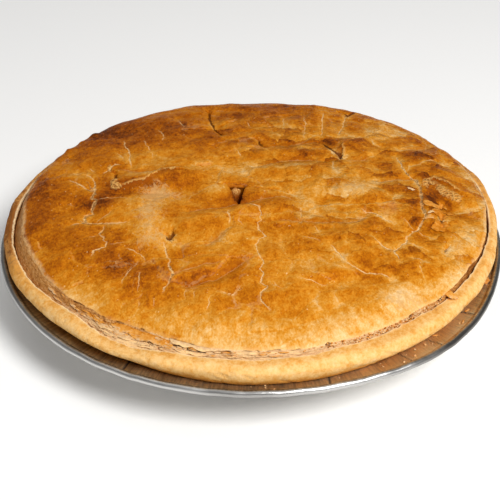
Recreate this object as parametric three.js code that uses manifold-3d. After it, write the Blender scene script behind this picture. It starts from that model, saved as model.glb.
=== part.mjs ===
// Bacon and egg pie with a flaky domed lid, in its shallow foil dish.
// Millimetres, +Z up, standing on z = 0, with the near side towards -Y.

import * as THREE from "three";
import { mergeVertices } from "three/addons/utils/BufferGeometryUtils.js";
import Module from "manifold-3d";

// Where the dish and the pie stand: the pie sits a little to the back of its dish
const DISH_CENTRE = [0.61, -0.39];
const PIE_CENTRE = [0.61, 2.61];

// Foil dish
const DISH_R = 115;
const DISH_DEPTH = 25;
const DISH_FLOOR_R = 86;
const DISH_MOUTH_R = 100;
const FOIL = 0.5;
const BEAD_R = 1.5;
const BEAD_LIFT = 0.3;
const PLEATS = 45;
const PLEAT_DEPTH = 0.7;
const FLANGE_RIPPLE = 0.12;

// Pastry case: the part in the well, the rounded crust on the flange and its rim
const GAP = 0.4;
const CASE_FLOOR_R = 80.5;
const CASE_MOUTH_R = 94.3;
const CASE_WALL = 5.2;
const CRUST_FOOT_R = 109.8;
const CRUST_BULGE_R = 113.1;
const CRUST_RIM_R = 107.5;
const CRUST_RISE = 9.9;
const LEDGE_Z = 31.2;

// Filling: fills the case, with a lump of it standing under the vent
const LUMP_R = 1.8;
const LUMP_TOP = 44.4;
const LUMP_BACK = 2.3;
const LUMP_LEFT = 0.5;

// Lid
const LID_R = 105.6;
const LID_EDGE_Z = 38.2;
const LID_TOP_Z = 45.2;
const LID_TILT = 0.011;
const LID_SHOULDER = 1.5;
const LID_FLAKES = 6;
const FLAKE_DEPTH = 0.55;
const CRACK_DEPTH = 0.8;
const CRACK_HALF_WIDTH = 1.9;

// Steam vent: a triangle with its point to the front, measured from the middle of the pie
const VENT_BACK = 9.5;
const VENT_FRONT = -6.5;
const VENT_LEFT = -11.6;
const VENT_RIGHT = -3.2;
const VENT_POINT = -6.2;

// Loose flakes at the edge of the lid: angle, radius, height, half sizes outwards, along the edge and through, and dip
const FLAPS = [
  [-38.6, 104.9, 36.7, 3.6, 2, 0.6, 20],
  [-113.5, 102.8, 36.8, 2.6, 8.5, 0.6, 25],
];

const DISH_STEPS = 90;
const CASE_STEPS = 90;
const FILLING_STEPS = 48;
const LID_STEPS = 104;
const LID_RINGS = 24;

// Ridges and hollows of the lid: start, end, height and half width, from the middle of the pie
const FOLDS = [
  [-30, -23, -3, -13, 1.5, 6],
  [-3, -13, 24, -6, 1.3, 6],
  [-12, -3, 4, -4, -0.9, 5],
  [4, 22, 48, 24, 1.4, 7],
  [2, 40, 32, 41, 1.2, 7],
  [-62, 15, -28, 21, 1.1, 4],
  [-62, 5, -30, 9, -0.9, 5],
  [-34, -60, -12, -49, 1.0, 4],
  [-34, -66, -10, -58, -0.8, 4],
  [20, -63, 42, -57, 0.9, 4],
  [36, -63, 58, -61, -0.9, 5],
  [-52, -8, -42, -38, 1.0, 8],
  [52, 2, 34, 12, 1.0, 8],
  [33, 58, 44, 38, -0.6, 3],
  [44, 60, 54, 40, 0.9, 5],
  [-24, 98, -16, 62, -0.8, 3],
  [30, 92, 38, 66, 0.8, 6],
  [-74, -8, -68, -24, -0.9, 5],
  [84, 20, 90, -6, -1.0, 5],
  [80, 22, 79, -18, 1.1, 3],
  [62, -34, 50, -52, -0.7, 6],
  [10, -20, 42, -23, 0.8, 4],
];

// Splits in the browned skin of the lid, from the middle of the pie
const CRACKS = [
  [[0, -10], [4, -20], [1, -38], [4, -52], [3, -60], [5, -82]],
  [[-79, 33], [-73, 9], [-72, -9]],
  [[-76, -11], [-74, -20], [-55, -22]],
  [[-66, -22], [-64, -36], [-68, -41]],
  [[-88, 20], [-74, 10]],
  [[-66, 62], [-58, 30]],
  [[-50, 75], [-45, 56]],
  [[-24, 99], [-16, 62]],
  [[16, 92], [16, 71]],
  [[51, 90], [44, 64]],
  [[72, 45], [77, 30], [77, 4], [79, -16], [68, -28], [60, -41]],
  [[72, -24], [52, -11]],
  [[60, -41], [64, -47]],
  [[20, -30], [36, -45], [45, -56], [58, -60]],
  [[-37, -48], [-34, -60], [-37, -70]],
  [[-50, -50], [-54, -62]],
];

const TURN = Math.PI / 180;
const wasm = await Module();
wasm.setup();

function smoothstep(low, high, value) {
  return THREE.MathUtils.smoothstep(value, low, high);
}

// Soft weight of a stretch of an edge, by angles in degrees
function arc(angle, middle, width) {
  const away = THREE.MathUtils.euclideanModulo(angle / TURN - middle + 180, 360) - 180;
  return Math.exp(-((away / width) ** 2));
}

// Rolled edge of the dish, bent a little by handling
function dishEdge(angle) {
  return DISH_R + 1.7 * arc(angle, 311, 16) + 1.1 * arc(angle, 182, 14) - 1.2 * arc(angle, 344, 12);
}

// Course of the lid's edge before it is frayed: drawn out to the back, torn back at the near left
function lidCourse(angle) {
  const round = LID_R + 2.4 * Math.sin(angle) + 0.9 * Math.cos(angle) + 1.1 * Math.cos(2 * angle);
  const back = 1.6 * arc(angle, 62, 18) - 1.4 * arc(angle, 90, 11) + 0.8 * arc(angle, 108, 10);
  const torn = arc(angle, 275, 20) - 2.2 * arc(angle, 243, 9) - 1.4 * arc(angle, 150, 15);
  return round + 1.2 * Math.sin(3 * angle) + back + torn;
}

function lidEdge(angle) {
  return lidCourse(angle) + 0.35 * Math.sin(17 * angle + 0.4) + 0.25 * Math.sin(31 * angle);
}

// Inner rim of the hand-pressed crust, always outside the lid
function crustRim(angle) {
  const round = CRUST_RIM_R - 1.2 * Math.cos(angle) + 0.7 * Math.sin(angle) + 0.4 * Math.cos(2 * angle);
  const lobes = Math.sin(2 * angle) + 0.6 * Math.cos(4 * angle);
  const pressed = 0.9 * arc(angle, 281, 8) - 1.2 * arc(angle, 225, 9) + 1.4 * arc(angle, 240, 8);
  return Math.max(round + lobes + pressed, lidCourse(angle) + 1.1);
}

function rimHeight(angle) {
  const waves = 0.3 * Math.sin(5 * angle + 0.6) + 0.25 * Math.sin(13 * angle) + 0.15 * Math.sin(29 * angle);
  return waves + 1.2 * arc(angle, 18, 14) + 1.2 * arc(angle, 338, 14) - 1.6 * arc(angle, 239, 10);
}

function crustFoot(angle) {
  return CRUST_FOOT_R + 2.1 * Math.cos(4 * angle - 10 * TURN);
}

function crustBulge(angle) {
  const swollen = 2.2 * arc(angle, 20, 14) + 0.7 * arc(angle, 195, 30);
  const pressed = swollen - 2.1 * arc(angle, 335, 22) - 1.7 * arc(angle, 150, 18);
  const round = Math.max(CRUST_BULGE_R + pressed, crustRim(angle) + 4.2);
  return round + 0.3 * Math.sin(11 * angle) + 0.2 * Math.sin(23 * angle + 1);
}

function distanceToLine(x, y, [x0, y0], [x1, y1]) {
  const dx = x1 - x0;
  const dy = y1 - y0;
  const along = THREE.MathUtils.clamp(((x - x0) * dx + (y - y0) * dy) / (dx * dx + dy * dy), 0, 1);
  return Math.hypot(x - x0 - along * dx, y - y0 - along * dy);
}

// Uneven surface of the lid: gentle swells, ridges and hollows, and the splits
function lidRelief(x, y) {
  const u = x + 7 * Math.sin(y / 17 + 0.8);
  const v = y + 6 * Math.sin(x / 13 - 0.5);
  let height = 0.45 * Math.sin(u / 9 + 0.7) * Math.cos(v / 11) + 0.35 * Math.sin((0.7 * u + v) / 7.3 + 1.9);
  height += 0.25 * Math.sin((u - 1.4 * v) / 5.6) * Math.sin((1.2 * u + v) / 14);
  for (const [x0, y0, x1, y1, rise, width] of FOLDS) {
    height += rise * Math.exp(-((distanceToLine(x, y, [x0, y0], [x1, y1]) / width) ** 2));
  }
  let nearest = Infinity;
  for (const crack of CRACKS) {
    for (let i = 1; i < crack.length; i += 1) {
      nearest = Math.min(nearest, distanceToLine(x, y, crack[i - 1], crack[i]));
    }
  }
  return height - CRACK_DEPTH * Math.exp(-((nearest / CRACK_HALF_WIDTH) ** 2));
}

function domeHeight(share) {
  return (LID_TOP_Z - LID_SHOULDER - LID_EDGE_Z) * (1 - share ** 3);
}

// A profile of [radius, height] turned about +Z, then each point moved by a rule of radius, height and angle
function turned(profile, steps, centre, rule) {
  const points = profile.map(([radius, height]) => new THREE.Vector2(radius, height));
  const lathe = new THREE.LatheGeometry(points, steps).rotateX(Math.PI / 2);
  const position = lathe.getAttribute("position");
  for (let i = 0; i < position.count; i += 1) {
    const x = position.getX(i);
    const y = position.getY(i);
    const angle = Math.atan2(y, x);
    const [radius, height] = rule(Math.hypot(x, y), position.getZ(i), angle);
    position.setXYZ(i, centre[0] + radius * Math.cos(angle), centre[1] + radius * Math.sin(angle), height);
  }
  return lathe;
}

function solid(geometry) {
  const bare = new THREE.BufferGeometry();
  const loose = geometry.index ? geometry.toNonIndexed() : geometry;
  bare.setAttribute("position", loose.getAttribute("position"));
  const merged = mergeVertices(bare, 1e-3);
  const vertProperties = merged.getAttribute("position").array;
  const triVerts = new Uint32Array(merged.index.array);
  return new wasm.Manifold(new wasm.Mesh({ numProp: 3, vertProperties, triVerts }));
}

function geometryOf(manifold) {
  const mesh = manifold.getMesh();
  const geometry = new THREE.BufferGeometry();
  geometry.setAttribute("position", new THREE.BufferAttribute(mesh.vertProperties, 3));
  geometry.setIndex(new THREE.BufferAttribute(mesh.triVerts, 1));
  return geometry;
}

// Thin pleated bowl, flat flange and rolled edge
function dishGeometry() {
  const beadX = DISH_R - BEAD_R;
  const beadZ = DISH_DEPTH + BEAD_LIFT;
  const flangeUnder = DISH_DEPTH - FOIL;
  const midR = (DISH_FLOOR_R + DISH_MOUTH_R) / 2;
  const profile = [
    [0, 0],
    [DISH_FLOOR_R - 2, 0],
    [DISH_FLOOR_R, 1.2],
    [midR + FOIL, DISH_DEPTH / 2],
    [DISH_MOUTH_R + FOIL, flangeUnder - 1],
    [DISH_MOUTH_R + 1.6, flangeUnder],
  ];
  const firstTurn = Math.PI + Math.asin((beadZ - flangeUnder) / BEAD_R) - 2 * Math.PI;
  const lastTurn = Math.PI + Math.asin((beadZ - DISH_DEPTH) / BEAD_R);
  const beadSteps = 7;
  for (let i = 0; i <= beadSteps; i += 1) {
    const around = firstTurn + ((lastTurn - firstTurn) * i) / beadSteps;
    profile.push([beadX + BEAD_R * Math.cos(around), beadZ + BEAD_R * Math.sin(around)]);
  }
  profile.push(
    [DISH_MOUTH_R + 1, DISH_DEPTH],
    [DISH_MOUTH_R, DISH_DEPTH - 1],
    [midR, DISH_DEPTH / 2],
    [DISH_FLOOR_R - 0.6, 1.5],
    [DISH_FLOOR_R - 2.4, FOIL],
    [0, FOIL],
  );
  return turned(profile, DISH_STEPS, DISH_CENTRE, (radius, height, angle) => {
    const onWall = smoothstep(0, 6, height) * (1 - smoothstep(DISH_DEPTH - 4, DISH_DEPTH - 1, height));
    const onFlange = smoothstep(DISH_MOUTH_R + 1, DISH_MOUTH_R + 4, radius);
    const pleat = Math.cos(PLEATS * (angle + Math.PI / 2));
    const edge = (dishEdge(angle) - DISH_R) * onFlange;
    return [radius + edge + PLEAT_DEPTH * pleat * onWall, height + FLANGE_RIPPLE * pleat * onFlange];
  });
}

// Pastry bowl with the rounded crust that rests on the flange
function caseGeometry() {
  const floorZ = FOIL + GAP;
  const footZ = DISH_DEPTH + GAP + FLANGE_RIPPLE;
  const rimZ = DISH_DEPTH + CRUST_RISE;
  const profile = [
    [0, floorZ],
    [CASE_FLOOR_R, floorZ],
    [CASE_FLOOR_R + 1.5, floorZ + 1.5],
    [CASE_MOUTH_R, footZ - 1.6],
    [CASE_MOUTH_R + 1.4, footZ],
    [CRUST_FOOT_R - 1.6, footZ],
    [CRUST_FOOT_R, footZ + 0.7],
    [CRUST_FOOT_R + 1.2, footZ + 2.4],
    [CRUST_BULGE_R, footZ + 5],
    [CRUST_BULGE_R - 0.2, rimZ - 2.2],
    [CRUST_BULGE_R - 1.6, rimZ - 0.7],
    [CRUST_RIM_R + 2.4, rimZ],
    [CRUST_RIM_R, rimZ - 0.2],
    [CRUST_RIM_R - 0.1, LEDGE_Z],
    [CASE_MOUTH_R - CASE_WALL + 1.6, LEDGE_Z],
    [CASE_FLOOR_R + 1.5 - CASE_WALL, floorZ + CASE_WALL],
    [0, floorZ + CASE_WALL],
  ];
  return turned(profile, CASE_STEPS, PIE_CENTRE, (radius, height, angle) => {
    let out = radius;
    let up = height;
    if (radius >= CRUST_FOOT_R - 2 && height < footZ + 4) {
      const clear = height < footZ + 2.2 ? dishEdge(angle) - 2 * BEAD_R - 0.9 : dishEdge(angle) + 0.6;
      const lift = PIE_CENTRE[1] - DISH_CENTRE[1];
      out = Math.min(radius - CRUST_FOOT_R + crustFoot(angle), clear - lift * Math.sin(angle));
    } else if (radius >= CRUST_BULGE_R - 2 && height > footZ + 4) {
      out = radius - CRUST_BULGE_R + crustBulge(angle);
    } else if (radius >= CRUST_RIM_R - 0.2 && height >= LEDGE_Z) {
      out = radius - CRUST_RIM_R + crustRim(angle);
    }
    if (height > rimZ - 1) {
      up = height + rimHeight(angle);
    }
    return [out, up];
  });
}

// Set filling inside the case, with the lump that shows in the vent
function fillingGeometry() {
  const floorZ = FOIL + GAP + CASE_WALL + GAP;
  const profile = [
    [0, floorZ],
    [CASE_FLOOR_R + 1.5 - CASE_WALL - GAP, floorZ],
    [CASE_MOUTH_R - CASE_WALL + 1.6 - 2 * GAP, LEDGE_Z],
    [0, LEDGE_Z],
  ];
  const body = solid(turned(profile, FILLING_STEPS, PIE_CENTRE, (radius, height) => [radius, height]));
  const rootZ = LEDGE_Z - 1;
  const lump = new THREE.CapsuleGeometry(LUMP_R, LUMP_TOP - rootZ - 2 * LUMP_R, 5, 14).rotateX(Math.PI / 2);
  const lumpX = PIE_CENTRE[0] + (VENT_LEFT + VENT_RIGHT) / 2 - LUMP_LEFT;
  lump.translate(lumpX, PIE_CENTRE[1] + VENT_BACK - LUMP_BACK, (LUMP_TOP + rootZ) / 2);
  return geometryOf(body.add(solid(lump)));
}

// Domed lid with a layered ragged side, cracked skin, vent and loose flake
function lidGeometry() {
  const underZ = LEDGE_Z + GAP;
  const footZ = underZ + 0.9;
  const profile = [
    [0, underZ],
    [LID_R - 1.4, underZ],
    [LID_R, footZ],
  ];
  for (let i = 1; i <= LID_FLAKES; i += 1) {
    profile.push([LID_R, footZ + ((LID_EDGE_Z - footZ) * i) / LID_FLAKES]);
  }
  for (let i = 1; i < LID_RINGS; i += 1) {
    const share = 1 - (i / LID_RINGS) ** 1.15;
    const shoulder = LID_SHOULDER * (1 - Math.exp(-((1 - share) * LID_R) / 4));
    profile.push([LID_R * share, LID_EDGE_Z + shoulder + domeHeight(share)]);
  }
  profile.push([0, LID_EDGE_Z + LID_SHOULDER + domeHeight(0)]);
  const lathe = turned(profile, LID_STEPS, [0, 0], (radius, height, angle) => {
    const foot = crustRim(angle) - 0.6;
    if (height <= footZ) {
      return [(radius / LID_R) * foot, height];
    }
    const edge = Math.min(lidEdge(angle), foot);
    if (height <= LID_EDGE_Z + 0.01) {
      const rise = (height - footZ) / (LID_EDGE_Z - footZ);
      const layer = Math.round(rise * LID_FLAKES);
      const torn = Math.sin(7 * angle + 2.3 * layer) * Math.sin(19 * angle - 1.7 * layer);
      const flake = FLAKE_DEPTH * ((layer % 2) - 0.5 + torn);
      const out = foot + (edge - foot) * rise;
      return [Math.min(out + flake, foot), height + LID_TILT * out * Math.sin(angle) * rise];
    }
    const out = (radius / LID_R) * edge;
    const x = out * Math.cos(angle);
    const y = out * Math.sin(angle);
    return [out, height + LID_TILT * y + lidRelief(x, y) * (1 - smoothstep(LID_R - 8, LID_R, radius))];
  });
  const vent = new THREE.Shape([
    new THREE.Vector2(VENT_LEFT, VENT_BACK),
    new THREE.Vector2(VENT_POINT, VENT_FRONT),
    new THREE.Vector2(VENT_RIGHT, VENT_BACK),
  ]);
  const cutter = new THREE.ExtrudeGeometry(vent, { depth: LID_TOP_Z, bevelEnabled: false });
  cutter.translate(0, 0, LEDGE_Z - 5);
  let lid = solid(lathe);
  for (const [angle, radius, height, out, along, through, dip] of FLAPS) {
    const flap = new THREE.SphereGeometry(1, 14, 6).scale(out, along, through);
    flap.rotateY(dip * TURN).translate(radius, 0, height).rotateZ(angle * TURN);
    lid = lid.add(solid(flap));
  }
  return geometryOf(lid.subtract(solid(cutter))).translate(PIE_CENTRE[0], PIE_CENTRE[1], 0);
}

const foil = new THREE.MeshStandardMaterial({ color: 0xb9b9bb, metalness: 1, roughness: 0.3 });
const shortcrust = new THREE.MeshStandardMaterial({ color: 0xe6b577, roughness: 0.75 });
const egg = new THREE.MeshStandardMaterial({ color: 0xd9b484, roughness: 0.7 });
const browned = new THREE.MeshStandardMaterial({ color: 0xc5812f, roughness: 0.55 });

function piece(name, geometry, material) {
  const mesh = new THREE.Mesh(geometry, material);
  mesh.name = name;
  return mesh;
}

const pie = new THREE.Group();
pie.add(piece("foil_dish", dishGeometry(), foil));
pie.add(piece("pastry_case", caseGeometry(), shortcrust));
pie.add(piece("filling", fillingGeometry(), egg));
pie.add(piece("pastry_lid", lidGeometry(), browned));

export default pie;
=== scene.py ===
"""Bacon and egg pie in its foil dish, dressed for a close studio view."""

import math

import bmesh
import bpy
import numpy as np
from bpy.props import FloatProperty, FloatVectorProperty, IntProperty, PointerProperty
from mathutils import Matrix, Vector


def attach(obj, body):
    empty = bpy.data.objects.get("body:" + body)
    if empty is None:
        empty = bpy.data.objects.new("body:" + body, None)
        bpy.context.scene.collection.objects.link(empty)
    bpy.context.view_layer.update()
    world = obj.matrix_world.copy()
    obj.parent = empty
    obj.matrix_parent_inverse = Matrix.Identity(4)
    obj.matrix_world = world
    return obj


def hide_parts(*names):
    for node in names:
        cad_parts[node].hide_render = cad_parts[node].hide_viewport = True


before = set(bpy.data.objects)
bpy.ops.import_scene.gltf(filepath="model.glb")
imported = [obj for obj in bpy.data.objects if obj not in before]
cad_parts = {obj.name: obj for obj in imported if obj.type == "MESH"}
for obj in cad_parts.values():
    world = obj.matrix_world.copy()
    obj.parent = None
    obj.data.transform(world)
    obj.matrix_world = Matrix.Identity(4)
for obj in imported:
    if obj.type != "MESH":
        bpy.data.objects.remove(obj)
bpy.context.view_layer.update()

bl_info = {
    "name": "Bacon and egg pie",
    "version": (1, 0, 0),
    "blender": (4, 5, 0),
    "location": "View3D > Sidebar > Pie",
    "description": "Builds a baked pie with a cracked flaky lid in a foil dish",
    "category": "Object",
}

MM = 0.001
BODY = "root"

# Middles of the dish and of the pie, in millimetres: the pie sits a little to the back of its dish
DISH_MIDDLE = (0.61, -0.39)
PIE_MIDDLE = (0.61, 2.61)

# Triangular steam vent, in millimetres from the middle of the pie
VENT = ((-11.6, 9.5), (-6.2, -6.5), (-3.2, 9.5))

# Ridges and hollows of the lid: start, end, rise and half width, from the middle of the pie
FOLDS = (
    (-30, -23, -3, -13, 1.5, 6), (-3, -13, 24, -6, 1.3, 6), (-12, -3, 4, -4, -0.9, 5),
    (4, 22, 48, 24, 1.4, 7), (2, 40, 32, 41, 1.2, 7), (-62, 15, -28, 21, 1.1, 4), (-62, 5, -30, 9, -0.9, 5),
    (-34, -60, -12, -49, 1.0, 4), (-34, -66, -10, -58, -0.8, 4), (20, -63, 42, -57, 0.9, 4),
    (36, -63, 58, -61, -0.9, 5), (-52, -8, -42, -38, 1.0, 8), (52, 2, 34, 12, 1.0, 8),
    (33, 58, 44, 38, -0.6, 3), (44, 60, 54, 40, 0.9, 5), (-24, 98, -16, 62, -0.8, 3),
    (30, 92, 38, 66, 0.8, 6), (-74, -8, -68, -24, -0.9, 5), (84, 20, 90, -6, -1.0, 5),
    (80, 22, 79, -18, 1.1, 3), (62, -34, 50, -52, -0.7, 6), (10, -20, 42, -23, 0.8, 4),
)

# Clear splits in the browned skin, which show pale pastry, from the middle of the pie
SPLITS = (
    ((-3.5, -6.5), (0.5, -10), (3, -11.5), (3.5, -15.5), (2.5, -17.5), (4, -19.5), (2.5, -22), (2, -26.5),
     (4, -28.5), (5.5, -32.5), (3, -34.5), (1, -39.5), (2, -44), (2.5, -48), (4, -50), (4.5, -53), (3, -57),
     (4.5, -60.5), (3.5, -65), (5.5, -68), (5, -70), (3.5, -72), (3.5, -76.5), (5, -79), (6, -80.5),
     (6.5, -83.5)),
    ((34, -38), (36, -44), (39.5, -50), (46, -56), (55, -57), (59, -60)),
    ((70, 41), (72, 33), (73, 26), (75, 21), (76.5, 19), (78.5, 12), (78, 4), (77.5, -3.5), (77, -9.5),
     (77, -14.5), (76, -18.5), (73, -24), (70, -27), (67.5, -30), (67, -33.5), (64, -38), (61, -41.5),
     (62, -44.5), (63, -48.5)),
    ((61, -41.5), (58, -39.5), (55, -37)),
    ((48, -8.5), (51, -12), (55.5, -13.5), (59, -17.5), (63.5, -20.5)),
    ((-79.5, 25), (-76, 19), (-74.5, 14), (-73.5, 9.5), (-73.5, 5), (-74.5, 1.5), (-72, -0.5), (-72.5, -4),
     (-73, -7.5), (-72.5, -10), (-75.5, -11), (-76, -14), (-74.5, -19.5)),
    ((-87.5, 19.5), (-83.5, 15.5), (-79.5, 12), (-75.5, 8.5), (-74, 6.5)),
    ((-82, -20), (-78.5, -18.5), (-74, -18), (-69.5, -18.5), (-66, -19), (-60.5, -20.5), (-55, -21)),
    ((-66, -19.5), (-67, -23.5), (-68, -27), (-65.5, -32.5), (-64, -34.5), (-64, -38.5), (-66.5, -40.5),
     (-69, -42), (-70, -46)),
    ((-64.5, 59), (-63.5, 54), (-63, 50.5), (-61.5, 47), (-60, 44), (-59.5, 41), (-60, 37), (-59.5, 34.5),
     (-58.5, 31), (-58, 28.5)),
    ((-72, 23), (-70.5, 25), (-68, 27.5), (-67, 31), (-63, 31.5)),
    ((-39.5, -35), (-37.5, -43), (-36.5, -47), (-36, -51), (-36.5, -53.5), (-35, -56.5), (-34, -60),
     (-35, -63), (-36.5, -67.5), (-37.5, -72.5)),
    ((36.5, 89.5), (35.5, 73.5), (34, 59.5)),
    ((49, 88), (45.5, 71), (42.5, 60)),
)

# Hairlines in the skin
HAIRLINES = (
    ((4, -19.5), (6, -22)),
    ((-9.5, -11.5), (-11.5, -15.5), (-10, -20), (-10, -25.5)),
    ((-6.5, -18), (-6.5, -21.5), (-3.5, -25.5)),
    ((20.5, -8), (21.5, -11.5), (21.5, -17.5), (21, -21.5)),
    ((21, -31), (25.5, -34), (29.5, -37.5)),
    ((26.5, -24), (28, -27.5), (29.5, -31.5)),
    ((18, -62.5), (21.5, -64), (24.5, -65), (29.5, -66.5), (32, -65)),
    ((25.5, -74), (26.5, -79), (28, -82.5)),
    ((8.5, -63.5), (9.5, -68), (12, -69.5)),
    ((-17, -73), (-18, -77.5), (-19, -84)),
    ((-14, -71), (-11, -72.5), (-8, -73.5), (-6, -70), (-4.5, -66)),
    ((-8, -73.5), (-7.5, -78), (-7, -83)),
    ((67, -16), (69.5, -21), (72, -25)),
    ((73, -24), (75, -27), (78, -29.5), (81.5, -30.5)),
    ((67, -34), (70, -35.5), (72.5, -38), (76, -40)),
    ((73, 26), (76, 31), (80.5, 33.5), (86, 38), (90, 36.5)),
    ((33, -71), (35, -79)),
    ((71, -50), (72, -58)),
    ((-72, -0.5), (-68.5, 0), (-64.5, 1), (-61.5, 1.5), (-57, -1.5)),
    ((-78.5, 31), (-75, 24.5)),
    ((-88.5, 27.5), (-85, 25.5), (-82.5, 21.5)),
    ((-70, -18.5), (-68, -15), (-65, -12.5), (-63.5, -11)),
    ((-68, -27.5), (-70, -29.5), (-73, -31)),
    ((-63.5, -37.5), (-59.5, -36), (-54.5, -35.5)),
    ((-56, -39.5), (-51, -42), (-48, -45), (-46, -49.5)),
    ((-86.5, -1), (-81.5, -3.5)),
    ((-49.5, 44.5), (-48.5, 36.5)),
    ((-66.5, 44.5), (-64.5, 41), (-62.5, 35)),
    ((-27.5, -67), (-28, -72.5), (-28, -76)),
    ((-23.5, -69.5), (-24, -76)),
    ((-59.5, -53.5), (-57, -50), (-51, -50.5)),
    ((-49, -47.5), (-50.5, -51.5), (-53, -57), (-54.5, -60.5), (-55, -65.5)),
    ((-47, -56.5), (-48, -61), (-47.5, -67), (-48, -71.5)),
    ((-46.5, -74), (-47, -80)),
    ((-41, -74), (-41, -80.5)),
    ((-39, 80), (-37, 76), (-33, 66)),
    ((-47.5, 69.5), (-46.5, 66), (-45, 59.5), (-44.5, 54)),
    ((-44.5, 58), (-43.5, 59.5)),
    ((-54, 58), (-53, 52), (-49.5, 44.5)),
    ((-8, 46), (-6, 36)),
    ((16.5, 81.5), (15.5, 68.5)),
    ((27, 84), (26.5, 69), (25.5, 55.5)),
    ((59, 58.5), (60, 52), (64, 49.5)),
    ((39.5, 33), (38.5, 27), (39.5, 20)),
    ((37, 6), (35.5, 0)),
    ((51.5, -30), (54, -34), (56.5, -38), (61, -41.5)),
    ((67.5, -45), (71.5, -47), (74.5, -49)),
    ((-3, 77), (-1, 70)),
)

# Valleys between the puffed parts of the lid
CREASES = (
    ((-33.5, -60.5), (-29, -58), (-24.5, -55.5), (-20.5, -53), (-12.5, -51)),
    ((-31, -63), (-28, -66.5), (-21.5, -64.5), (-17.5, -62.5), (-9.5, -55.5), (0, -47.5)),
    ((-23, -38.5), (-18.5, -37.5), (-14, -31), (-12, -27)),
    ((10, -20), (17.5, -21.5), (26, -22), (32, -22), (47, -20), (52, -12)),
    ((-30, -13), (-10, -6), (-1.5, -4.5), (3.5, -1.5), (10.5, 0), (15.5, 0), (20.5, -4.5)),
    ((-1.5, 45.5), (5.5, 46.5), (12, 49), (17.5, 49), (33, 53.5)),
    ((1.5, 26), (10, 31), (18.5, 33.5), (27, 33.5), (36.5, 32)),
    ((44, 36), (48, 34), (54, 36), (58, 40)),
    ((85, 70), (87, 60), (86, 53), (80, 50), (72, 48)),
    ((57, 15), (66, 18), (76, 20)),
    ((-65, 28), (-55, 24.5), (-45, 24)),
)

# Open slits, painted near-black as the shade inside them
SLITS = (
    ((-23.5, 92), (-21, 76), (-17.5, 65.5), (-15, 61)),
    ((33, 53.5), (36, 48.5), (39, 44), (43, 39), (43, 34.5)),
    ((2, 56), (4, 51), (6, 48)),
    ((85, -13), (84, -21)),
    ((87, 0), (86, -5)),
    ((-66, 25), (-64, 17)),
    ((-38.5, -30.5), (-37.5, -32), (-36.5, -34), (-35, -31), (-35, -27)),
    ((54, 94.5), (49.5, 88), (45.5, 92.5)),
    ((83, -40), (84, -36)),
)

# Wider places of the splits and of the slits: x, y, half widths and amount
WIDE_SPLITS = ((77, 4, 16, 22.4, 0.9), (-73, -6, 16, 16, 1.0), (-35, -60, 5, 5, 0.6))
WIDE_SLITS = ((39, 44, 6, 6, 1.4), (-37, -32.5, 2.2, 2.2, 1.6))

# Torn steps in the skin, higher on the left of their direction
TEARS = (
    ((-62, 10.5), (-57, 12.5), (-53, 13.5), (-49, 15), (-47.5, 17.5), (-44, 20), (-43, 23), (-35, 22.5)),
    ((44, 50.5), (44, 43.5), (43, 34.5)),
    ((83, 17), (86, 20.5), (92, 16), (97, 9)),
)

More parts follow.
